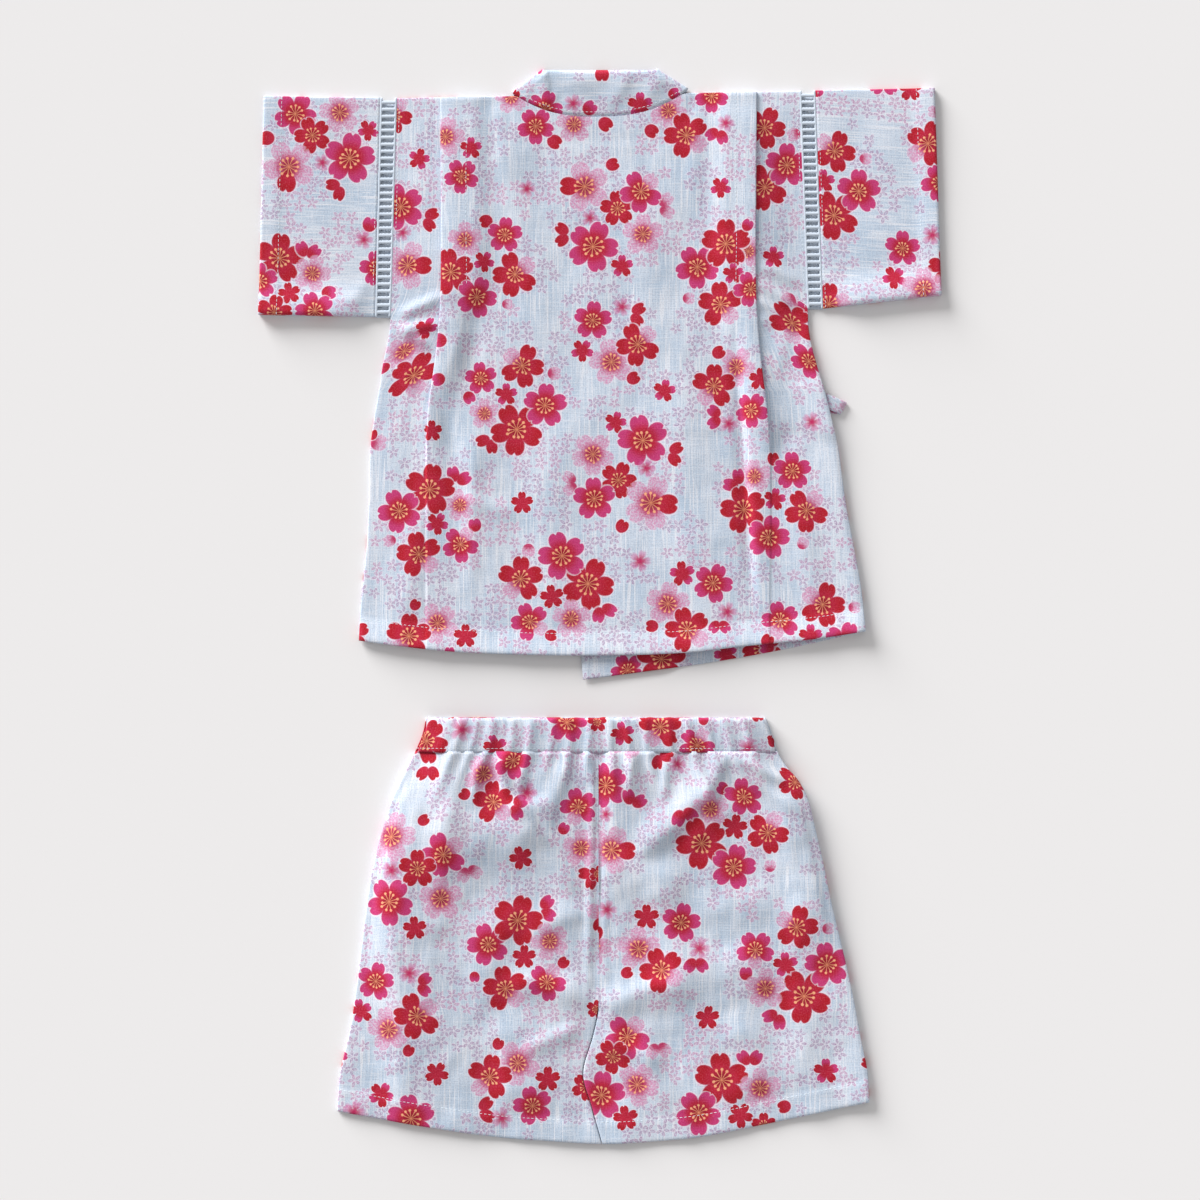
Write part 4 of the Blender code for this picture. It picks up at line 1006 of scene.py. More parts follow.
def legRows(side):
    line = curveAt(shorts["inner"], shorts["casingBottom"])
    outerTop = curveAt(shorts["sides"][side], shorts["casingBottom"])
    rows, cuts = [], []
    for y in hemRows(shorts["hem"], shorts["casingBottom"] + 0.8, shorts["rows"]):
        rolled = 1 - smooth(shorts["crotch"] - 8, shorts["crotch"] + 3, y)
        inner = turnStart(curveAt(shorts["inner"], y), -side, rolled, 0.03)
        outer = curveAt(shorts["sides"][side], y) - side * (layers["fold"] + 0.5)

        def shiftAt(x):
            # how far the hem's own curve moves a point that is near it
            low = shorts["hem"]
            return (curveAt(shorts["hemline"], x) - low) * (1 - smooth(low, shorts["hemFade"], y))

        def backPoint(x):
            fromOuter, down = abs(outer - x), shorts["casingBottom"] - y
            inside = min(abs(x - inner), fromOuter)
            share = (x - inner) / (outer - inner)
            place = y + shiftAt(x)
            soft = smooth(0, 9, inside if rolled > 0.5 else fromOuter)
            fromHem = place - curveAt(shorts["hemline"], x)
            z = layers["upper"] + shorts["rise"] * smooth(0, 20, inside) * mix(0.2, 1, smooth(0, 40, fromHem))
            z += soft * (shorts["creases"] * creaseLift(shortsCreases, x, place)
                         + shorts["wobble"] * wobble(x, place * 0.7, 28, 21)
                         + shorts["crumple"] * wobble(x, place, 9, 22))
            z += seamBand(x, place) * (1 - rolled)
            gape = max(0.0, 1 - max(0.0, down) / stand["waistReach"]) ** 1.9
            z += stand["waist"] * gape * mix(0.5, 1, smooth(0, 24, fromOuter))
            atSide = (1 - smooth(0, stand["reach"], fromOuter)) * smooth(0.1, 1, side)
            z += stand["leg"] * atSide * smooth(0, 25, down)
            z += bandStep(fromHem, shorts["hemWidth"]) + puckers(x, fromHem, shorts["hemWidth"], 9 + side)
            z += gathersAt(mix(line, outerTop, share), down) * (1 - smooth(0.95, 1, share))
            return x, place, z

        lower = [(x, y + shiftAt(x), layers["lower"]) for x in steps(inner, outer, shorts["frontPoints"])]
        upper = [backPoint(x) for x in steps(inner, outer, shorts["backPoints"])]
        row = sideEnd(lower[0], -side, rolled)[::-1] + lower
        fold = halfTurn(outer, lower[-1][1], side, layers["turn"], layers["middle"])
        lift = upper[-1][2] - layers["upper"]
        row += [(x, yy, z + lift * max(0.0, (z - layers["middle"]) / layers["turn"])) for x, yy, z in fold]
        row += upper[::-1] + sideEnd(upper[0], -side, rolled)
        run = runAcross(row)
        # the front's cloth is eased in, so that its print stays upright
        fuller = outer - side * shorts["eased"]
        cut = [(row[-1][0] + side * (run[-1] - r) - fuller * max(0.0, 1 - n / len(lower)), p[1])
               for n, (r, p) in enumerate(zip(run, row))]
        if side > 0:
            row, cut = row[::-1], cut[::-1]
        rows.append(row)
        cuts.append(cut)
    return rows, cuts


casing = {
    "low": 0.8, "turn": 1.45, "inset": 0.6, "puff": 1.1, "gathered": 0.55, "sway": 2.2, "unevenEdge": 0.9,
    "rows": 14, "frontPoints": 60, "backPoints": 190,
}


def waistbandRows():
    low, turn, inset = casing["low"], casing["turn"], layers["fold"] + casing["inset"]
    middle, high = low + turn, low + 2 * turn
    first, last = (curveAt(shorts["sides"][side], shorts["casingBottom"]) for side in (-1, 1))
    rows, cuts = [], []
    for y in steps(shorts["casingBottom"], shorts["waistTop"], casing["rows"]):
        left, right = (curveAt(shorts["sides"][side], y) - side * inset for side in (-1, 1))
        up = (y - shorts["casingBottom"]) / (shorts["waistTop"] - shorts["casingBottom"])
        puff = (casing["puff"] * up + 0.3 * math.sin(math.pi * up) - 0.7 * smooth(0.9, 1, up)
                - 0.35 * (1 - smooth(0, 0.14, up)))
        row = [(x, y, low) for x in steps(right, left, casing["frontPoints"])]
        row += halfTurn(left, y, -1, turn, middle) + [(left, y, high)]
        for place in steps(first, last, casing["backPoints"])[1:-1]:
            share = (place - first) / (last - first)
            sway = place + casing["sway"] * noise.noise((place / 16, up * 1.3, 3))
            lift = casing["gathered"] * gathersAt(sway, 0) * (1 - 0.25 * smooth(0.8, 1, up)) + puff
            lift += stand["waist"] * mix(0.5, 1, smooth(0, 0.08, min(share, 1 - share)))
            lift += 0.25 * noise.noise((place / 3.4, up * 2, 7))
            x = mix(left, right, share)
            pull = casing["unevenEdge"] * noise.noise((place / 7, 3, 5)) * smooth(0.6, 1, up)
            row.append((x, y + pull, high + lift))
        row += [(right, y, high)] + halfTurn(right, y, 1, turn, middle)[::-1]
        run = runAcross(row + row[:1])
        onBack = [n for n, point in enumerate(row) if point[2] > middle]
        middleRun = run[min(onBack, key=lambda n: abs(row[n][0]))]
        rows.append(row)
        cuts.append([(r - middleRun, y) for r in run])
    return rows, cuts


# laying the print

def downOnto(surface, x, y):
    # where a line straight down meets the cloth, and the face it meets
    place, _, face, _ = surface.ray_cast(Vector((x * mm, y * mm, 0.05)), Vector((0, 0, -1)))
    return place, face


underneath = {  # the print of cloth that lies face down: what is in it, the radii of each look and the spacing
    "kinds": ["rose", "red", "pale", "redPale", "paleRed", "rose", "star", "fuzzy", "petal", "pair", "star"],
    "radii": {0: (12, 17), 1: (8, 9), 2: (7, 8), 3: (8, 10), 4: (11, 13)},
    "spacing": 21, "clear": 0.92, "fromSeen": 5, "seenAbove": 2.4,
}


def scattered(mesh, taken, seed):
    # motifs for the cloth that lies underneath, clear of the listed ones
    pick, spacing = random.Random(seed), underneath["spacing"]
    cut = cutCorners(mesh).mean(axis=1) / mm
    centres, normals = np.empty(len(mesh.polygons) * 3), np.empty(len(mesh.polygons) * 3)
    mesh.polygons.foreach_get("center", centres)
    mesh.polygons.foreach_get("normal", normals)
    high = centres.reshape(-1, 3)[:, 2] > underneath["seenAbove"] * mm
    seen = cut[(normals.reshape(-1, 3)[:, 2] > 0.3) & high]
    first, last = cut.min(axis=0), cut.max(axis=0)
    made = []
    for i in range(int((last[0] - first[0]) / spacing) + 1):
        for j in range(int((last[1] - first[1]) / spacing) + 1):
            kind = pick.choice(underneath["kinds"])
            radius = pick.uniform(*underneath["radii"][motifKinds[kind][1]])
            x, y = first[0] + (i + pick.random()) * spacing, first[1] + (j + pick.random()) * spacing
            turn = pick.uniform(0, 360)
            if len(seen) and np.hypot(seen[:, 0] - x, seen[:, 1] - y).min() < underneath["fromSeen"]:
                continue
            if all(math.hypot(x - a, y - b) > (radius + r) * underneath["clear"]
                   for _, a, b, r, _ in taken + made):
                made.append((kind, x, y, radius, turn))
    return made


def printMotifs(piece, motifs, cutTurn=0, seed=None):
    # finds on the cut cloth where each motif lies, and returns the surface for the stitches
    mesh = piece.data
    surface = BVHTree.FromPolygons([v.co.copy() for v in mesh.vertices],
                                   [tuple(p.vertices) for p in mesh.polygons])
    uv = mesh.uv_layers["cut"].data
    charted = []
    turnBy = math.radians(cutTurn)
    for kind, x, y, radius, turn in motifs:
        look = motifKinds[kind][1]
        if look > 2:  # loose petals are placed by their middle
            scale, middle, lean = ((1, motifShape["pairMiddle"], motifShape["pairLean"]) if look == 4
                                   else (motifShape["looseScale"], motifShape["ovalMiddle"], 0))
            radius *= scale
            toMiddle = math.radians(turn + lean)
            x -= middle * radius * math.cos(toMiddle)
            y -= middle * radius * math.sin(toMiddle)
        place, face = downOnto(surface, x, y)
        if place is None:
            _, _, face, _ = surface.find_nearest(Vector((x * mm, y * mm, 0.004)))
        polygon = mesh.polygons[face]
        middle = sum((uv[n].uv for n in polygon.loop_indices), Vector((0, 0))) / 4 / mm
        dx, dy = x - polygon.center.x / mm, y - polygon.center.y / mm
        u = middle.x + dx * math.cos(turnBy) - dy * math.sin(turnBy)
        v = middle.y + dx * math.sin(turnBy) + dy * math.cos(turnBy)
        charted.append((kind, u, v, radius, turn + cutTurn))
    if seed is not None:
        charted = scattered(mesh, charted, seed) + charted
    chartMotifs(mesh, charted)
    return surface


# motifs listed one by one: kind, x, y, radius, direction of the first petal (0 right, 90 up)

backMotifs = [
    ("pale", -108, 327.6, 14, 75), ("redPale", -144, 343, 13, 60), ("star", -126.4, 312.4, 7.6, 3),
    ("star", -90, 319.7, 7.8, 90), ("fuzzy", -138, 261, 6.5, 0), ("pair", -118, 270, 12, -51),
    ("rose", -139.3, 279, 16.5, 35), ("rose", -96.7, 300, 12.3, 49), ("petal", -80, 268.7, 10, 200),
    ("pale", -94, 255.6, 12.5, 20), ("rose", -66.5, 259.3, 12.5, 13), ("paleRed", -134.3, 238, 17, 0),
    ("red", -104, 233, 16.5, 28), ("star", -81, 240.5, 7.5, 60), ("rose", -86, 215.7, 14.5, -4),
    ("redPale", -59.4, 231.7, 16, 38), ("fuzzy", -51, 291.5, 6.5, 0), ("pale", -62, 356, 12, 100),
    ("petal", -31.6, 324.3, 11, -30), ("pale", -18, 336.5, 13, 20), ("rose", -45, 335.3, 13, 54),
    ("fuzzy", -7, 271, 6.5, 0), ("pair", -27, 259.5, 12, 144), ("paleRed", -10.7, 293, 17.5, 178),
    ("palePetal", -64.5, 211, 8, 0), ("petal", 4, 336.5, 11, -45), ("petal", 9, 308.6, 10, 20),
    ("palePair", 47, 279.5, 13, -30), ("red", 12.3, 277.8, 12.5, 25), ("rosePale", 28.6, 289.5, 15, 47),
    ("rose", -5, 251.2, 18, 68), ("pale", 30, 259.7, 14.5, 90), ("star", 15.4, 237.5, 8, 90),
    ("petal", 36.2, 331.8, 10.5, -35), ("pale", 47.8, 346, 13, 60), ("redPale", 60.3, 328.8, 16, -36),
    ("rosePair", 81.5, 328, 12, 215), ("fuzzy", 87.7, 337.2, 6.5, 0), ("rose", 78, 356.5, 12, 270),
    ("star", 84.2, 292.3, 7.5, 54), ("pale", 103.4, 247.4, 11, 0), ("rose", 68, 237, 15.5, 53),
    ("red", 87.8, 252.8, 17.5, 18), ("rosePetal", 103, 266, 9, 60), ("star", 93, 232, 7.5, 90),
    ("redPale", 84.2, 210.7, 16, -50), ("rose", 105.2, 221, 12.5, 40), ("red", 115, 334, 15, -5),
    ("red", 115, 292.4, 16.5, -28), ("rose", 130.6, 308.2, 15.5, 18), ("star", 121.2, 243.6, 7.8, 90),
    ("palePetal", 135, 329.5, 10, 200), ("fuzzy", 15.4, 209, 7, 0), ("palePetal", 62.3, 215, 9, 0),
    ("pair", 26.8, 203.6, 12, -46), ("rosePetal", 142.7, 208.7, 10, 100), ("palePetal", 131, 214, 11, 200),
    ("star", -121.4, 193.5, 8, 80), ("pale", -136.6, 178.1, 14, 90), ("redPale", -129.8, 161, 16.5, -56),
    ("rosePetal", -151, 166, 9, 200), ("rosePetal", -112.5, 185.5, 11, 180),
    ("rosePetal", -113, 158, 10, 200), ("redStar", -117.3, 122.2, 7.5, 90),
    ("palePetal", -154.5, 114, 12, 0), ("petal", -159.5, 120, 8, 90), ("rose", -83.3, 159.2, 11.5, 25),
    ("rosePetal", -91.3, 145.4, 9.5, -60), ("redPale", -54.4, 167.9, 15.5, 138),
    ("star", -65.5, 147.8, 8, 90), ("pale", -80.7, 134.4, 11, 20), ("pair", -79, 113, 12, 200),
    ("red", -58.2, 123.4, 18.5, 48), ("rose", -38.4, 140.2, 15.5, 13), ("palePetal", -31.6, 162.6, 10, 0),
    ("palePair", -21.7, 85.7, 12, 150), ("redStar", -54.4, 72, 8, 20), ("pale", -97.8, 70.5, 11.5, 30),
    ("rosePair", -98.5, 91, 13, 30), ("red", -119.1, 81.4, 18, 8), ("rose", -140.1, 66.4, 15.5, 43),
    ("star", -113.8, 57.5, 8, 60), ("rosePetal", -87.4, 56.8, 10, 100), ("rose", -5, 199.6, 13.5, 13),
    ("pale", 8, 170.5, 16, 30), ("star", -12.4, 178.5, 8, 55), ("petal", 23.5, 159.3, 10, 30),
    ("redPale", 26.5, 182.8, 15.5, 45), ("star", 45, 150.4, 8, 80), ("star", 10.8, 128.3, 7.8, 75),
    ("pale", -5, 106, 15, 54), ("rose", 30, 115.7, 18, 31), ("pair", 53, 106.2, 12, -46),
    ("fuzzy", 32.4, 96.3, 7, 0), ("red", 12.8, 88, 13, 68), ("rose", -4, 75, 15, 22),
    ("paleRed", 35.6, 72, 19, -4), ("petal", 15.5, 56, 10, 60), ("pale", 95.7, 167, 14, 60),
    ("petal", 83.1, 177.3, 10, 30), ("redPale", 79.5, 153.7, 15.5, 232), ("rosePair", 79.2, 132.1, 12, 144),
    ("fuzzy", 90, 127.3, 7, 0), ("redStar", 111.7, 158.3, 8, 90), ("rose", 105.3, 136.7, 12.5, 57),
    ("redPale", 134.1, 197.6, 15.5, 250), ("rose", 146, 171, 12.5, 112), ("fuzzy", 148, 128.6, 7.5, 0),
    ("petal", 121, 103, 10, 90), ("rose", 134.5, 94.4, 13.5, 18), ("pale", 107.7, 90.5, 12, 20),
    ("star", 122, 74.6, 8, 80), ("redPale", 144.1, 66.7, 15.5, 53), ("rosePair", 93.5, 88, 13, 100),
    ("red", 100.5, 67.4, 17, 32), ("rose", 117.5, 48, 15.5, 3), ("palePetal", 142, 44, 9, 60),
    ("fuzzy", 28, 31.5, 8, 0), ("palePetal", -147, 45.5, 9, 200), ("redPale", -126.5, 36, 16, -43),
    ("rosePale", -97.5, 43, 13, 60), ("redPale", -55.5, 19, 16, 232), ("palePetal", -50, 38.5, 10, 270),
    ("red", -8.5, 15.5, 18.5, 64), ("rose", -26.5, 35, 17, 35), ("rosePair", 3, -5, 13, 260),
    ("redStar", -33.5, 6.5, 8.5, 100), ("pale", -20, -9, 13.5, 20), ("rosePale", -49, -11, 13.5, -32),
    ("petal", -34, -20.5, 9, 0), ("pale", -113.5, -12, 14.5, 45), ("redPale", -133.5, -21, 16, 232),
    ("redStar", -94, -21, 8.5, 90), ("petal", -129, 1, 8.5, 60), ("red", -172, -19, 12, 20),
    ("rosePetal", -105, -32, 8, 90), ("star", 57.5, 22.5, 9, 25), ("rose", 79, 16, 14, 66),
    ("pale", 47.5, 1.5, 15.5, 85), ("redPale", 61, -16.5, 16, 323), ("rosePair", 83.5, -15, 11, 234),
    ("fuzzy", 89, -4, 7.5, 0), ("petal", 36, -14, 9.5, 180), ("rosePale", 126, -10, 13.5, -110),
    ("redPale", 155.5, 1, 16, 143), ("palePetal", 178, -1, 9, 0), ("rose", 171, -26, 15, 72),
    ("star", 147, -21, 8.5, 90), ("petal", 117, -24, 10, 60),
]
frontMotifs = {-1: [], 1: [("rose", 18, -45, 12, 60), ("red", 43, -37, 17.5, 90), ("star", 88, -34, 8.5, 0),
                         ("red", 112, -30, 14, 200), ("rosePair", 132, -26, 12, 0)]}
collarMotifs = [
    ("petal", 1.4, 371, 11, -90), ("fuzzy", -18.7, 351, 7, 0), ("rosePetal", -7, 348, 11, 40),
    ("star", 28, 350, 9, 90), ("rose", -38.8, 347, 13, 70), ("rosePetal", 52, 358, 9, 20),
]
sleeveMotifs = {
    -1: [("pale", -182, 345, 14.5, 30), ("rose", -213, 344, 15, 60), ("red", -201, 329, 13, 40),
         ("star", -162, 332.5, 7.5, 50), ("fuzzy", -194, 310, 6.5, 0), ("rose", -175, 313, 18, 82),
         ("petal", -233, 327, 11, 180), ("paleRed", -217.5, 307, 18, 262), ("pair", -185, 291, 12, 180),
         ("rosePetal", -161, 267, 11, 75), ("fuzzy", -165, 256, 7, 0), ("rose", -156, 236, 12.5, 100),
         ("red", -224, 243, 17.5, 85), ("rosePair", -204, 249, 13, 40), ("pale", -201, 232.5, 13, 70),
         ("rose", -238, 227, 13, 20), ("redStar", -217, 218.5, 8, 30), ("rosePetal", -189, 219, 11, 0),
         ("rose", -199, 206, 14, 110), ("red", -227.5, 204.6, 13, 80)],
    1: [("rosePetal", 152, 360, 9, 30), ("rose", 198, 369, 13, 235), ("redStar", 217, 361, 8.5, 90),
        ("redPale", 164, 318, 15, 140), ("palePetal", 186, 313, 9, 0), ("redPale", 229, 323, 16, 215),
        ("star", 156, 297, 8.5, 90), ("red", 163.5, 273, 17.5, 118), ("rose", 181, 290, 15.5, 90),
        ("palePetal", 233, 345, 9, 180), ("rose", 237, 295, 13, 115), ("rose", 211.5, 250, 12.5, 90),
        ("star", 205.5, 229.5, 8.5, 50), ("fuzzy", 232, 259, 7.5, 0), ("red", 243, 236, 14, 170),
        ("pale", 226, 222, 15, 90), ("redPale", 160, 211, 15, 15)],
}
legMotifs = {
    -1: [("redPale", -121, -94, 16, -17), ("pair", -119, -117, 12, 235), ("pale", -81, -117, 14.5, 60),
         ("star", -73, -98, 8.5, 100), ("rose", -60.5, -107.5, 13.5, 70), ("petal", -95, -131, 9, 150),
         ("rosePair", -56, -140, 13, 300), ("redPale", -74, -136.5, 15, 312), ("fuzzy", -51, -130, 8, 0),
         ("petal", -123, -149, 9, 30), ("redStar", -55, -175.5, 8.5, 110),
         ("rosePale", -15, -140, 13.5, -110), ("rosePetal", -25, -155, 9, 60),
         ("pale", -13, -169, 13.5, 90), ("pair", -9, -190, 12, 180), ("red", -1, -153, 12, 90),
         ("red", -2, -187, 6, 0), ("pale", -145.5, -161, 17.5, 5), ("fuzzy", -145, -184, 8, 0),
         ("palePair", -91, -187, 13, 250), ("rosePale", -109, -173, 16, 40), ("pale", -111, -204, 15.5, 20),
         ("red", -127, -183, 13.5, 90), ("rose", -147, -206, 17, 55), ("redStar", -129, -224.5, 8.5, 95),
         ("rosePair", -36, -211, 13, 330), ("rose", -78, -236, 15, 38), ("red", -57.5, -219.5, 18, 72),
         ("redStar", -53, -245, 8.5, 90), ("pale", -35, -234, 13.5, 40), ("petal", -25.5, -249, 9, 45),
         ("rosePale", -37, -262.5, 13.5, 62), ("redPale", -66, -267, 16, 316),
         ("rosePetal", -87.5, -259, 8, 270), ("rose", -156.5, -262, 13.5, 78), ("fuzzy", -133, -256, 8, 0),
         ("rosePair", -122, -264, 12, 320), ("pale", -147.5, -295.5, 15.5, 100),
         ("redPale", -127.5, -286, 16.5, 36), ("star", -167, -283, 8.5, 100),
         ("petal", -133.5, -310, 9, 60), ("redStar", -114, -326.5, 8.5, 60), ("star", -153, -341.5, 9, 60),
         ("rose", -132, -358, 17, 97), ("fuzzy", -172, -354, 9, 0), ("pale", -57.5, -319, 16, 50),
         ("redPale", -77, -329, 16, 226), ("petal", -71, -305.5, 9, 60), ("redStar", -36.5, -330.5, 9, 90),
         ("rose", -47, -349, 14, 105), ("pair", -79, -352, 13, 330),
         ("fuzzy", -68.5, -358, 8, 0), ("red", -3, -282, 7, 0), ("red", -10, -336, 10, 60)],
    1: [("rose", 4, -125, 16, 35), ("pair", 44, -107, 12, 270), ("fuzzy", 54, -110, 7, 0),
        ("rosePair", 24, -134, 13, 30), ("rosePetal", 85, -127, 10, 150), ("rose", 100, -133, 13.5, 95),
        ("pale", 77, -141.5, 13.5, 20), ("rosePair", 59, -147, 14, 250), ("redStar", 94, -154, 9, 80),
        ("red", 71, -165.5, 18.5, 40), ("rose", 93, -182, 16, 75), ("redPale", 117, -158, 15, 64),
        ("palePetal", 118.5, -181, 9, 90), ("paleRed", 8, -170, 17, -3), ("fuzzy", 4, -145, 6, 0),
        ("fuzzy", 5, -212, 7.5, 0), ("red", 136, -123, 12, 60), ("redStar", 32.5, -217, 9, 90),
        ("rose", 56.5, -221, 14, 78), ("pale", 27, -239.5, 15.5, 90), ("redPale", 43, -254, 16, 330),
        ("rosePair", 67, -251, 12.5, 234), ("petal", 19, -256, 9, 20), ("fuzzy", 69.5, -239, 8, 0),
        ("rosePale", 108.5, -240, 13.5, 268), ("redPale", 137, -224, 15.5, 148),
        ("palePetal", 159.5, -225, 9, 0), ("star", 129.5, -250.5, 9, 95), ("red", 142.5, -272.5, 19, 122),
        ("rose", 158.5, -250.5, 16, 100), ("rosePetal", 101.5, -256, 10, 90),
        ("pale", 115.5, -267, 14.5, 90), ("rosePair", 122, -289, 13, 200), ("redStar", 75, -287.5, 8.5, 90),
        ("palePair", 41, -311, 13, 240), ("pale", 26, -334.5, 15.5, 60), ("rosePale", 19, -301, 16, 55),
        ("red", 9, -315, 12.5, 120), ("rose", 1, -342, 17, 85), ("redStar", 18, -358, 9, 100),
        ("rosePair", 105, -315, 13, 54), ("red", 85, -331, 19, 92), ("pale", 112, -337, 14.5, 90),
        ("rose", 69, -354, 16, 56), ("redStar", 98, -356, 9, 60),
        ("petal", 128.5, -350, 10, 200), ("red", 115, -363, 9, 20), ("star", 158, -325, 9, 90)],
}
waistMotifs = [
    ("red", -121, -94, 16, 55), ("fuzzy", -96, -86, 9, 0), ("rose", -23, -81, 14.5, 10),
    ("star", 15.5, -89, 8.5, 100), ("red", -2, -81, 7, 90), ("redPale", 42, -84, 15.5, 235),
    ("rosePale", 67.5, -97, 13, 60), ("fuzzy", 103, -99, 8, 0), ("petal", 121, -94, 9, 90),
    ("rosePetal", 72, -79, 8, 90), ("star", -73, -98, 8.5, 100), ("rose", -60.5, -107.5, 13.5, 70),
]

cottonSides = (printedCotton, printedCottonWrong)
cottonReversed = (printedCottonWrong, printedCotton)

rows = backRows()
centreColumn = len(rows[0]) // 2
back = clothPiece("backPanel", rows, sectionCuts(rows, centreColumn), cloth["wall"], cottonSides)
backTop = printMotifs(back, backMotifs)
print("back laid")

fronts = {}
for side, label in ((-1, "frontLeft"), (1, "frontRight")):
    rows = frontRows(side)
    cuts = [[(-side * (u - row[0][0]) - row[0][0], v) for u, v in cut]
            for row, cut in zip(rows, sectionCuts(rows))]
    fronts[side] = clothPiece(label, rows, cuts, cloth["wall"], cottonSides if side < 0 else cottonReversed)
    for polygon in fronts[side].data.polygons:  # the hem's turned-up part has the face side out
        if polygon.center.y < (curveAt(top["frontHem"], polygon.center.x / mm) + top["turnedUp"]) * mm:
            polygon.material_index = 1 if side > 0 else 0
    printMotifs(fronts[side], frontMotifs[side], seed=31 + side)
print("fronts laid")

rows, cuts = collarRows()
collarBand = clothPiece("collarBand", rows, cuts, cloth["collarWall"], (printedCotton, printedCotton))
collarSurface = printMotifs(collarBand, collarMotifs, -90, seed=41)
print("collar laid")

sleeves, sleeveTops = {}, {}
for side, label in ((-1, "sleeveLeft"), (1, "sleeveRight")):
    rows, cuts = sleeveRows(side)
    sleeves[side] = clothPiece(label, rows, cuts, cloth["wall"], cottonSides)
    sleeveTops[side] = printMotifs(sleeves[side], sleeveMotifs[side], 90, seed=51 + side)
print("sleeves laid")

legs, legTops = {}, {}
for side, label in ((-1, "legLeft"), (1, "legRight")):
    rows, cuts = legRows(side)
    legs[side] = clothPiece(label, rows, cuts, cloth["wall"], cottonSides)
    legTops[side] = printMotifs(legs[side], legMotifs[side], seed=61 + side)
rows, cuts = waistbandRows()
bothPrinted = (printedCotton, printedCotton)
waistband = clothPiece("waistCasing", rows, cuts, cloth["casingWall"], bothPrinted, ring=True)
waistTop = printMotifs(waistband, waistMotifs, seed=71)
print("shorts laid")


# ties: straps of the same cloth, folded into a flat tube

def strap(name, rows, motifSeed):
    # rows are the strap's two edges along its way; the section runs round both layers
    grid, cuts, run = [], [], 0.0
    lines = [(Vector(a), Vector(b)) for a, b in rows]
    middles = [(a + b) / 2 for a, b in lines]
    for n, (a, b) in enumerate(lines):
        onward = middles[min(n + 1, len(lines) - 1)] - middles[max(n - 1, 0)]
        across = (b - a).normalized()
        up = onward.cross(across).normalized() * (ties["thick"] / 2)
        if n:
            run += (middles[n] - middles[n - 1]).length
        places = [a.lerp(b, share) for share in (0.04, 0.2, 0.4, 0.6, 0.8, 0.96)]
        ring = [p - up for p in places] + [b] + [p + up for p in places[::-1]] + [a]
        grid.append([tuple(p) for p in ring])
        around = [0.0]
        for p, q in zip(ring, ring[1:] + ring[:1]):
            around.append(around[-1] + (q - p).length)
        cuts.append([(-r, run) for r in around])
    piece = clothPiece(name, grid, cuts, ties["wall"], (printedCotton, printedCottonWrong), ring=True)
    printMotifs(piece, [], seed=motifSeed)
    return piece


def leftTieWay():
    # flat on the floor, under the set
    y, half, z = ties["middles"][-1], ties["width"] / 2, ties["low"]
    return [((x, y - half, z), (x, y + half, z)) for x in steps(*ties["leftRun"], ties["leftRows"])]


def rightTieWay():
    # out of the side seam to its fold, round that, and back underneath
    y, upperZ, z = ties["middles"][1], layers["middle"] + top["tieRise"], ties["low"]
    seamLow, seamHigh, foldLow, foldHigh = (Vector((x, y + up, 0)) for x, up in ties["seam"] + ties["fold"])
    way = []
    for share in steps(0, 0.97, ties["outRows"]):
        low, high = seamLow.lerp(foldLow, share), seamHigh.lerp(foldHigh, share)
        rise = upperZ + 0.5 * math.sin(math.pi * share) - 0.2 * share
        way.append(((low.x, low.y, rise), (high.x, high.y, rise + 0.25)))
    across = (foldHigh - foldLow).normalized()
    outward = Vector((across.y, -across.x, 0))
    middle, half = ties["foldHeight"]
    for a in steps(math.pi / 2, -math.pi / 2, ties["foldRows"]):
        out, rise = outward * ties["foldRadius"] * math.cos(a), middle + half * math.sin(a)
        way.append(((foldLow.x + out.x, foldLow.y + out.y, rise),
                    (foldHigh.x + out.x, foldHigh.y + out.y, rise)))
    for n in range(1, ties["backRows"] + 1):
        run = ties["rightRun"] * n / ties["backRows"]
        climb = ties["rightClimb"] * smooth(0, 22, run)
        way.append(((foldLow.x - run, foldLow.y + climb, z), (foldHigh.x - run - 1.5, foldHigh.y + climb, z)))
    return way


tieLeft = strap("tieLeft", leftTieWay(), 81)
tieRight = strap("tieRight", rightTieWay(), 82)
print("ties laid")


# ladder lace in the armholes: two rails and wound rungs

lace = {
    "rungs": 31, "railWidth": 1.7, "railHeight": 1.2, "rungWidth": 2.9, "rungHeight": 1.4, "winds": 9,
    "sewnUnder": 0.3, "frontLift": 0.3, "strand": 0.5, "patch": 12,
    "dark": "#BFCBDA", "light": "#D6DDE7", "paintedGrooveShade": "#B4C1CF",
    "flat": (0.011, 0.156), "area": 0.00112,  # metres: each strip before it is sewn in
}


def newLace():
    # bleached cotton braid, pressed: the thread scatters the light, so it is matt with hardly a highlight, and
    # its strands show as fine grooves, with painted shade in them, drawn about twice as coarse as they are
    material, tree, shader = newMaterial("bleachedCottonLace", 0.85, 0.25)
    place = put(tree, "TexCoord", out=None).outputs["Object"]
    stretched = put(tree, "Mapping", place, (0, 0, 0), (0, 0, 0), (0.25, 1.0, 1.0))
    strands = put(tree, "TexNoise", stretched, 1 / (lace["strand"] * mm), 2.0, 0.6)
    patches = put(tree, "TexNoise", place, 1 / (lace["patch"] * mm), 2.0, 0.5)
    colour = put(tree, "Mix", patches, toLinear(lace["dark"]), toLinear(lace["light"]), data_type="RGBA")
    # painted shade darkens the grooves between the strands
    grooveShade = put(tree, "MapRange", strands, 0.35, 0.6, 0.35, 0.0)
    colour = put(tree, "Mix", grooveShade, colour, toLinear(lace["paintedGrooveShade"]), data_type="RGBA")
    tree.links.new(colour, shader.inputs["Base Color"])
    bump = put(tree, "Bump", 0.4, 0.0002, None, strands, out=None)
    tree.links.new(bump.outputs[0], shader.inputs["Normal"])
    return material


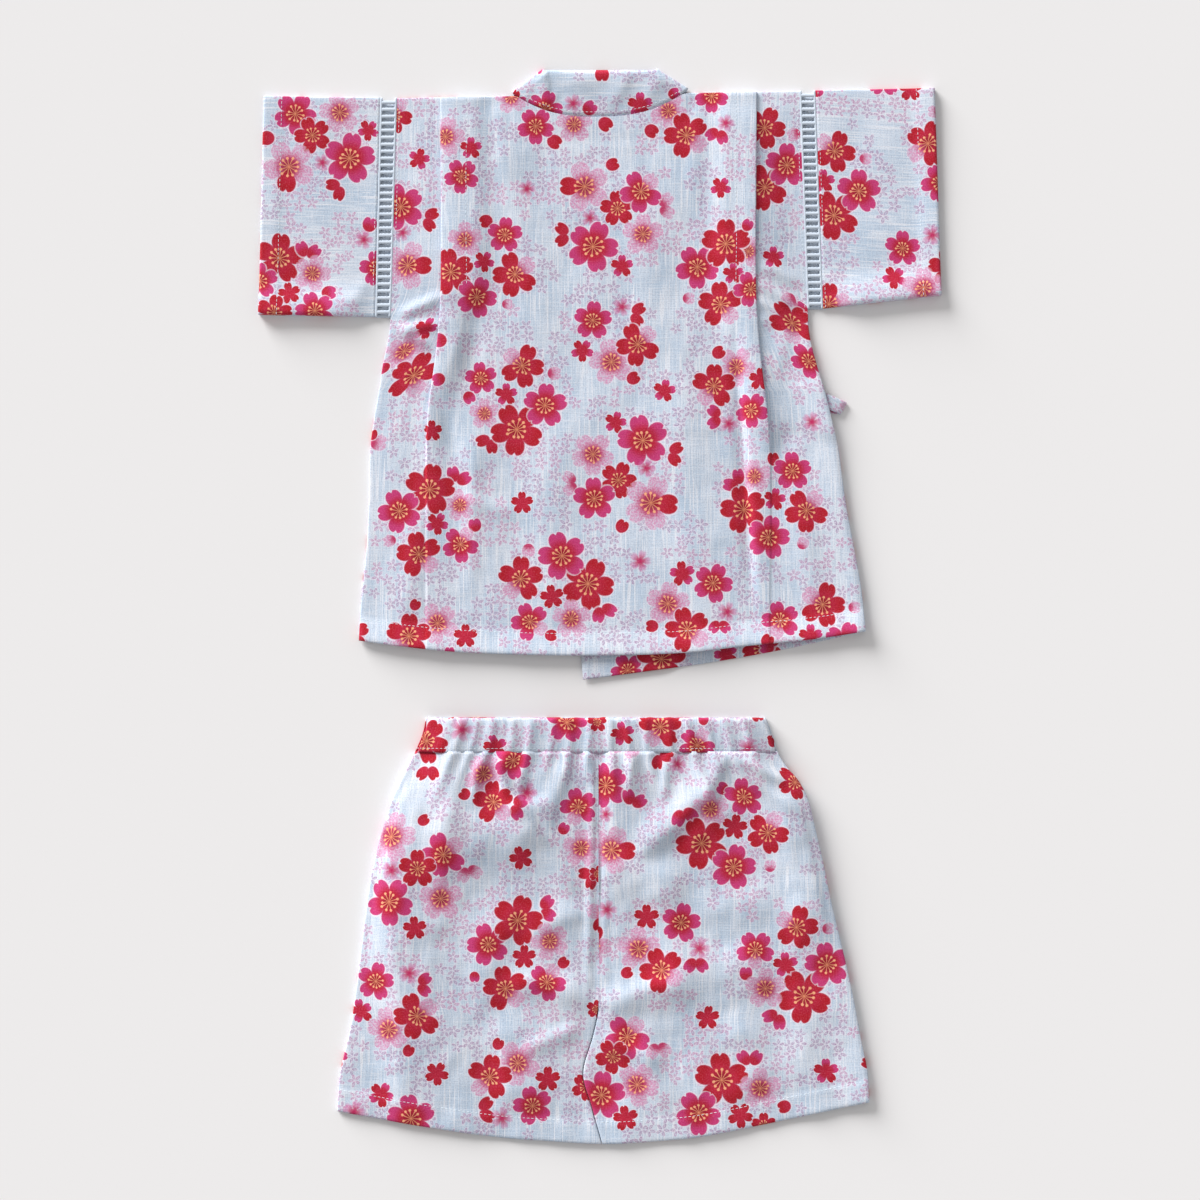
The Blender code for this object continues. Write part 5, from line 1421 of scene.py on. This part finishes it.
laceCotton = newLace()


def ladderTree():
    sizes = [(label, "Float", lace[key] * mm) for label, key in (
        ("Rail Width", "railWidth"), ("Rail Height", "railHeight"),
        ("Rung Width", "rungWidth"), ("Rung Height", "rungHeight"))]
    g, given = newTree("ladderLace", "GeometryNodeTree",
                       [("Geometry", "Geometry"), *sizes, ("Winds", "Int", lace["winds"])],
                       [("Geometry", "Geometry")])
    geo = "GeometryNode"
    aside = put(g, "InputNamedAttribute", "aside", prefix=geo, data_type="FLOAT_VECTOR")
    rounds = []
    for part, corners in (("Rail", 10), ("Rung", 6)):
        halves = [put(g, "Math", given[f"{part} {way}"], 0.5, operation="MULTIPLY")
                  for way in ("Width", "Height")]
        circle = put(g, "CurvePrimitiveCircle", corners, prefix=geo)
        scale = put(g, "CombineXYZ", *halves, 1.0)
        rounds.append(put(g, "Transform", circle, None, None, scale, prefix=geo))
    middle = put(g, "MeshToCurve", given["Geometry"], prefix=geo)
    middle = put(g, "SetCurveNormal", middle, prefix=geo, mode="Z_UP")
    rails = []
    for sign in (1.0, -1.0):
        shift = put(g, "VectorMath", aside, sign, operation="SCALE")
        moved = put(g, "SetPosition", middle, None, None, shift, prefix=geo)
        rails.append(put(g, "CurveToMesh", moved, rounds[0], None, True, prefix=geo))
    bar = put(g, "CurvePrimitiveLine", (-0.5, 0, 0), (0.5, 0, 0), prefix=geo)
    bar = put(g, "ResampleCurve", bar, None, given["Winds"], prefix=geo)
    number = put(g, "InputIndex", prefix=geo)
    odd = put(g, "Math", number, 2.0, operation="MODULO")
    # every second wind of the thread is fuller
    size = put(g, "Math", odd, 0.16, 0.86, operation="MULTIPLY_ADD")
    bar = put(g, "SetCurveNormal", bar, prefix=geo, mode="Z_UP")
    rung = put(g, "CurveToMesh", bar, rounds[1], size, True, prefix=geo)
    isRung = put(g, "InputNamedAttribute", "isRung", prefix=geo, data_type="BOOLEAN")
    points = put(g, "MeshToPoints", given["Geometry"], isRung, prefix=geo)
    spread = put(g, "VectorMath", aside, operation="LENGTH")
    spread = put(g, "Math", spread, 2.0, operation="MULTIPLY")
    facing = put(g, "AlignRotationToVector", None, 1.0, aside, prefix="FunctionNode", axis="X")
    stretch = put(g, "CombineXYZ", spread, 1.0, 1.0)
    laid = put(g, "InstanceOnPoints", points, None, rung, None, None, facing, stretch, prefix=geo)
    joined = put(g, "JoinGeometry", prefix=geo, out=None)
    for part in (*rails, laid):
        g.links.new(part, joined.inputs[0])
    plain = put(g, "RealizeInstances", joined.outputs[0], prefix=geo)
    plain = put(g, "SetShadeSmooth", plain, prefix=geo)
    plain = put(g, "SetMaterial", plain, None, laceCotton, prefix=geo)
    put(g, "GroupOutput", plain, out=None, prefix="Node")
    return g


def madePlain(name, tree, spots, edges, marks=()):
    # runs a node tree on a path of points in metres and keeps the result as a plain mesh
    path = bpy.data.meshes.new(name + "Path")
    path.from_pydata(spots, edges, [])
    for label, kind, field, values in marks:
        path.attributes.new(label, kind, "POINT").data.foreach_set(field, values)
    source = linked(name + "Path", path)
    source.modifiers.new("made", "NODES").node_group = tree
    bpy.context.view_layer.update()
    mesh = bpy.data.meshes.new_from_object(source.evaluated_get(bpy.context.evaluated_depsgraph_get()))
    source.modifiers.clear()
    bpy.data.objects.remove(source)
    mesh.name = name
    return linked(name, mesh)


ladder = ladderTree()


def ladderLace(side, up, name):
    # from the underarm to the shoulder; the rungs of the front lie between those of the back
    high, low, _, _ = armholes[side]
    start, end = turnStart(low, -1, 1), turnStart(high, 1, 1)
    height = layers["upper"] if up > 0 else layers["lower"] + lace["frontLift"]
    pitch, rungAt = (end - start) / lace["rungs"], 0.5 if up > 0 else 0.0
    ends = allTurned(1)
    section = [(start - out, height - up * drop, False) for out, drop in reversed(ends)]
    for n in range(lace["rungs"]):
        section += [(start + (n + share) * pitch, height, share == rungAt) for share in (0.0, 0.25, 0.5, 0.75)]
    section.append((end, height, False))
    section += [(end + out, height - up * drop, False) for out, drop in ends]
    spots, asides = [], []
    for y, z, _ in section:
        inset = side * (lace["railWidth"] / 2 - lace["sewnUnder"])
        inner, outer = curveAt(top["sides"][side], y) + inset, laceOuter(y, side) - inset
        sway = 0.12 * wobble(y, 0, 9, 91 + side + up)
        spots.append(((inner + outer) / 2 * mm, y * mm, (z + sway * up) * mm))
        asides.append((abs(outer - inner) / 2 * mm, 0.05 * mm * wobble(y, 4, 3, 95), 0))
    marks = [("aside", "FLOAT_VECTOR", "vector", np.ravel(asides)),
             ("isRung", "BOOLEAN", "value", [isRung for _, _, isRung in section])]
    return madePlain(name, ladder, spots, [(n, n + 1) for n in range(len(spots) - 1)], marks)


laces = {}
for side, sideName in ((-1, "Left"), (1, "Right")):
    for up, layerName in ((1, "Back"), (-1, "Front")):
        laces[side, up] = ladderLace(side, up, f"lace{sideName}{layerName}")
print("lace made")


# stitching: polyester-cotton thread, each stitch a small pulled-in loop

stitch = {
    "spacing": 3.0, "length": 2.5, "thread": 0.42, "seed": 5, "sunk": 0.05,
    "dark": "#C9DBE6", "light": "#EEF3F6", "hem": 15.2, "seam": 2.0, "collar": 3.2,
    "tucks": [(-93.4, 354, 64, 2), (95.0, 358, 66, 3)],  # across, highest point, points, which unevenness
}


def newThread():
    # spun sewing thread, twisted hard: smoother than the cloth, so that it catches a little more light,
    # and a paler tone, as it isn't printed
    material, tree, shader = newMaterial("spunSewingThread", 0.6, 0.5)
    place = put(tree, "TexCoord", out=None).outputs["Object"]
    patches = put(tree, "TexNoise", place, 1 / (6 * mm), 1.0, 0.5)
    colour = put(tree, "Mix", patches, toLinear(stitch["dark"]), toLinear(stitch["light"]), data_type="RGBA")
    tree.links.new(colour, shader.inputs["Base Color"])
    return material


sewingThread = newThread()


def stitchTree():
    sizes = [(label, "Float", stitch[key] * mm) for label, key in (
        ("Spacing", "spacing"), ("Stitch Length", "length"), ("Thread", "thread"))]
    g, given = newTree("stitchRow", "GeometryNodeTree",
                       [("Geometry", "Geometry"), *sizes, ("Seed", "Int", stitch["seed"])],
                       [("Geometry", "Geometry")])
    geo = "GeometryNode"
    path = put(g, "MeshToCurve", given["Geometry"], prefix=geo)
    points = put(g, "CurveToPoints", path, given["Spacing"], prefix=geo, out=None, mode="LENGTH")
    loop = put(g, "MeshUVSphere", 6, 4, 0.5, prefix=geo)
    onward = points.outputs["Tangent"]
    facing = put(g, "AlignRotationToVector", None, 1.0, onward, prefix="FunctionNode", axis="X")
    uneven = put(g, "RandomValue", 0.82, 1.12, None, given["Seed"], prefix="FunctionNode")
    length = put(g, "Math", uneven, given["Stitch Length"], operation="MULTIPLY")
    size = put(g, "CombineXYZ", length, given["Thread"], given["Thread"])
    laid = put(g, "InstanceOnPoints", points.outputs[0], None, loop, None, None, facing, size, prefix=geo)
    plain = put(g, "RealizeInstances", laid, prefix=geo)
    plain = put(g, "SetShadeSmooth", plain, prefix=geo)
    plain = put(g, "SetMaterial", plain, None, sewingThread, prefix=geo)
    put(g, "GroupOutput", plain, out=None, prefix="Node")
    return g


stitchRow = stitchTree()


def stitched(name, lines):
    spots, edges = [], []
    for line in lines:
        edges += [(len(spots) + n, len(spots) + n + 1) for n in range(len(line) - 1)]
        spots += [tuple(p) for p in line]
    return madePlain(name, stitchRow, spots, edges)


def sewnOn(surface, spots):
    # points on the cloth under each spot, sunk a little into it
    found = [downOnto(surface, x, y)[0] for x, y in spots]
    return [Vector((x * mm, y * mm, place.z - stitch["sunk"] * mm))
            for (x, y), place in zip(spots, found) if place is not None]


lines = [sewnOn(backTop, [(x, curveAt(top["backHem"], x) + stitch["hem"] + 0.3 * wobble(x, 0, 30, 1))
                          for x in steps(-166, 183, 175)])]
for x, highest, count, uneven in stitch["tucks"]:
    lines.append(sewnOn(backTop, [(x + 0.5 * wobble(y, 0, 40, uneven), y) for y in steps(226, highest, count)]))
for side in (-1, 1):
    highX, high, lowX, low = cuffs[side]
    lines.append(sewnOn(sleeveTops[side], [
        (mix(lowX, highX, share) - side * sleeve["stitches"], mix(low, high, share) - 0.4)
        for share in steps(0.01, 0.99, 76)]))
    high, low, _, _ = armholes[side]
    heights, inset = steps(low + 2, high - 2, 76), side * stitch["seam"]
    lines.append(sewnOn(sleeveTops[side], [(laceOuter(y, side) + inset, y) for y in heights]))
    lines.append(sewnOn(backTop, [(curveAt(top["sides"][side], y) - inset, y) for y in heights]))
lines.append(sewnOn(collarSurface, [(x, necklineAt(x) + stitch["collar"]) for x in steps(-53, 53, 53)]))
topStitching = stitched("topStitching", lines)

lines = []
for side, first, last in ((-1, -181, -1), (1, 2, 185)):  # along each leg's hem
    lines.append(sewnOn(legTops[side], [(x, curveAt(shorts["hemline"], x) + stitch["hem"])
                                        for x in steps(first, last, 90)]))
lines.append(sewnOn(waistTop, [(x, shorts["waistStitches"]) for x in steps(-128, 122, 125)]))
shortsStitching = stitched("shortsStitching", lines)
print("stitching made")


# each piece joins the set's root and hides the part it replaces; its cut size and area are printed

def cutSize(piece):
    corners = cutCorners(piece.data).reshape(-1, 2)
    return corners.max(axis=0) - corners.min(axis=0)


def cutArea(piece):
    # half of the wall's two sides, measured on the cut
    q = cutCorners(piece.data).astype(float)
    a, b = q[:, 2] - q[:, 0], q[:, 3] - q[:, 1]
    return float(np.abs(a[:, 0] * b[:, 1] - a[:, 1] * b[:, 0]).sum() / 4)


def declare(piece, replaced):
    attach(piece, "root")
    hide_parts(replaced)


for piece, replaced, restsOn in (
    (back, "back", [fronts[-1], fronts[1]]), (fronts[-1], "front_left", []), (fronts[1], "front_right", []),
    (collarBand, "collar", []), (sleeves[-1], "sleeve_left", []), (sleeves[1], "sleeve_right", []),
    (legs[-1], "leg_left", []), (legs[1], "leg_right", []), (waistband, "waistband", []),
    (tieLeft, "tie_left", []), (tieRight, "tie_right", []),
):
    width, length = map(float, cutSize(piece))
    area = min(cutArea(piece), width * length)
    print(piece.name, "cut", round(width, 4), round(length, 4), "area", round(area, 5),
          "triangles", 2 * len(piece.data.polygons))
    declare(piece, replaced)
for (side, up), piece in laces.items():
    sideName, layerName = "left" if side < 0 else "right", "back" if up > 0 else "front"
    declare(piece, f"lace_{sideName}_{layerName}")
for piece in (topStitching, shortsStitching):
    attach(piece, "root")


# floor, light and camera

studio = {
    "floor": "#EDEBEB", "floorShade": "#E6E4E4", "floorSize": 6.0, "grains": 0.7,
    "around": "#FFFFFF", "aroundStrength": 0.5, "key": 5.37, "keyAngle": 34, "keyFrom": (-0.6, 0.75, 0.2935),
    "lens": 100, "sensor": 36, "frameWidth": 0.84, "frameMiddle": (0, 0.0042),
}


def newPaper():
    # matt background paper: it scatters the light evenly with no sheen, and its fine tooth hardly shows;
    # the tooth is drawn at 1.4 mm, several times as coarse as it is
    material, tree, shader = newMaterial("mattPaper", 0.95, 0.1)
    place = put(tree, "TexCoord", out=None).outputs["Object"]
    tooth = put(tree, "TexNoise", place, studio["grains"] / mm, 2.0, 0.5)
    tone = put(tree, "MapRange", tooth, 0.3, 0.7, 0.985, 1.0)
    colour = put(tree, "Mix", tone, toLinear(studio["floorShade"]), toLinear(studio["floor"]), data_type="RGBA")
    tree.links.new(colour, shader.inputs["Base Color"])
    return material


floorMesh = bpy.data.meshes.new("floor")
reach = studio["floorSize"] / 2
corners = [(x * reach, y * reach, 0) for x, y in ((-1, -1), (1, -1), (1, 1), (-1, 1))]
floorMesh.from_pydata(corners, [], [(0, 1, 2, 3)])
floorMesh.materials.append(newPaper())
linked("floor", floorMesh)

scene = bpy.context.scene
scene.world = world = bpy.data.worlds.new("studio")
world.use_nodes = True
background = world.node_tree.nodes["Background"].inputs
background[0].default_value = toLinear(studio["around"])
background[1].default_value = studio["aroundStrength"]
scene.view_settings.view_transform = "Standard"  # inks and whites keep their own colours
lamp = bpy.data.lights.new("softKey", "SUN")  # a large softbox, far enough away to light the cloth evenly
lamp.energy, lamp.angle = studio["key"], math.radians(studio["keyAngle"])
softKey = linked("softKey", lamp)
softKey.location = studio["keyFrom"]
softKey.rotation_euler = Vector(studio["keyFrom"]).to_track_quat("Z", "Y").to_euler()

lens = bpy.data.cameras.new("camera")
lens.lens, lens.sensor_width = studio["lens"], studio["sensor"]
camera = linked("camera", lens)
camera.location = (*studio["frameMiddle"], studio["frameWidth"] * studio["lens"] / studio["sensor"])
scene.camera = camera
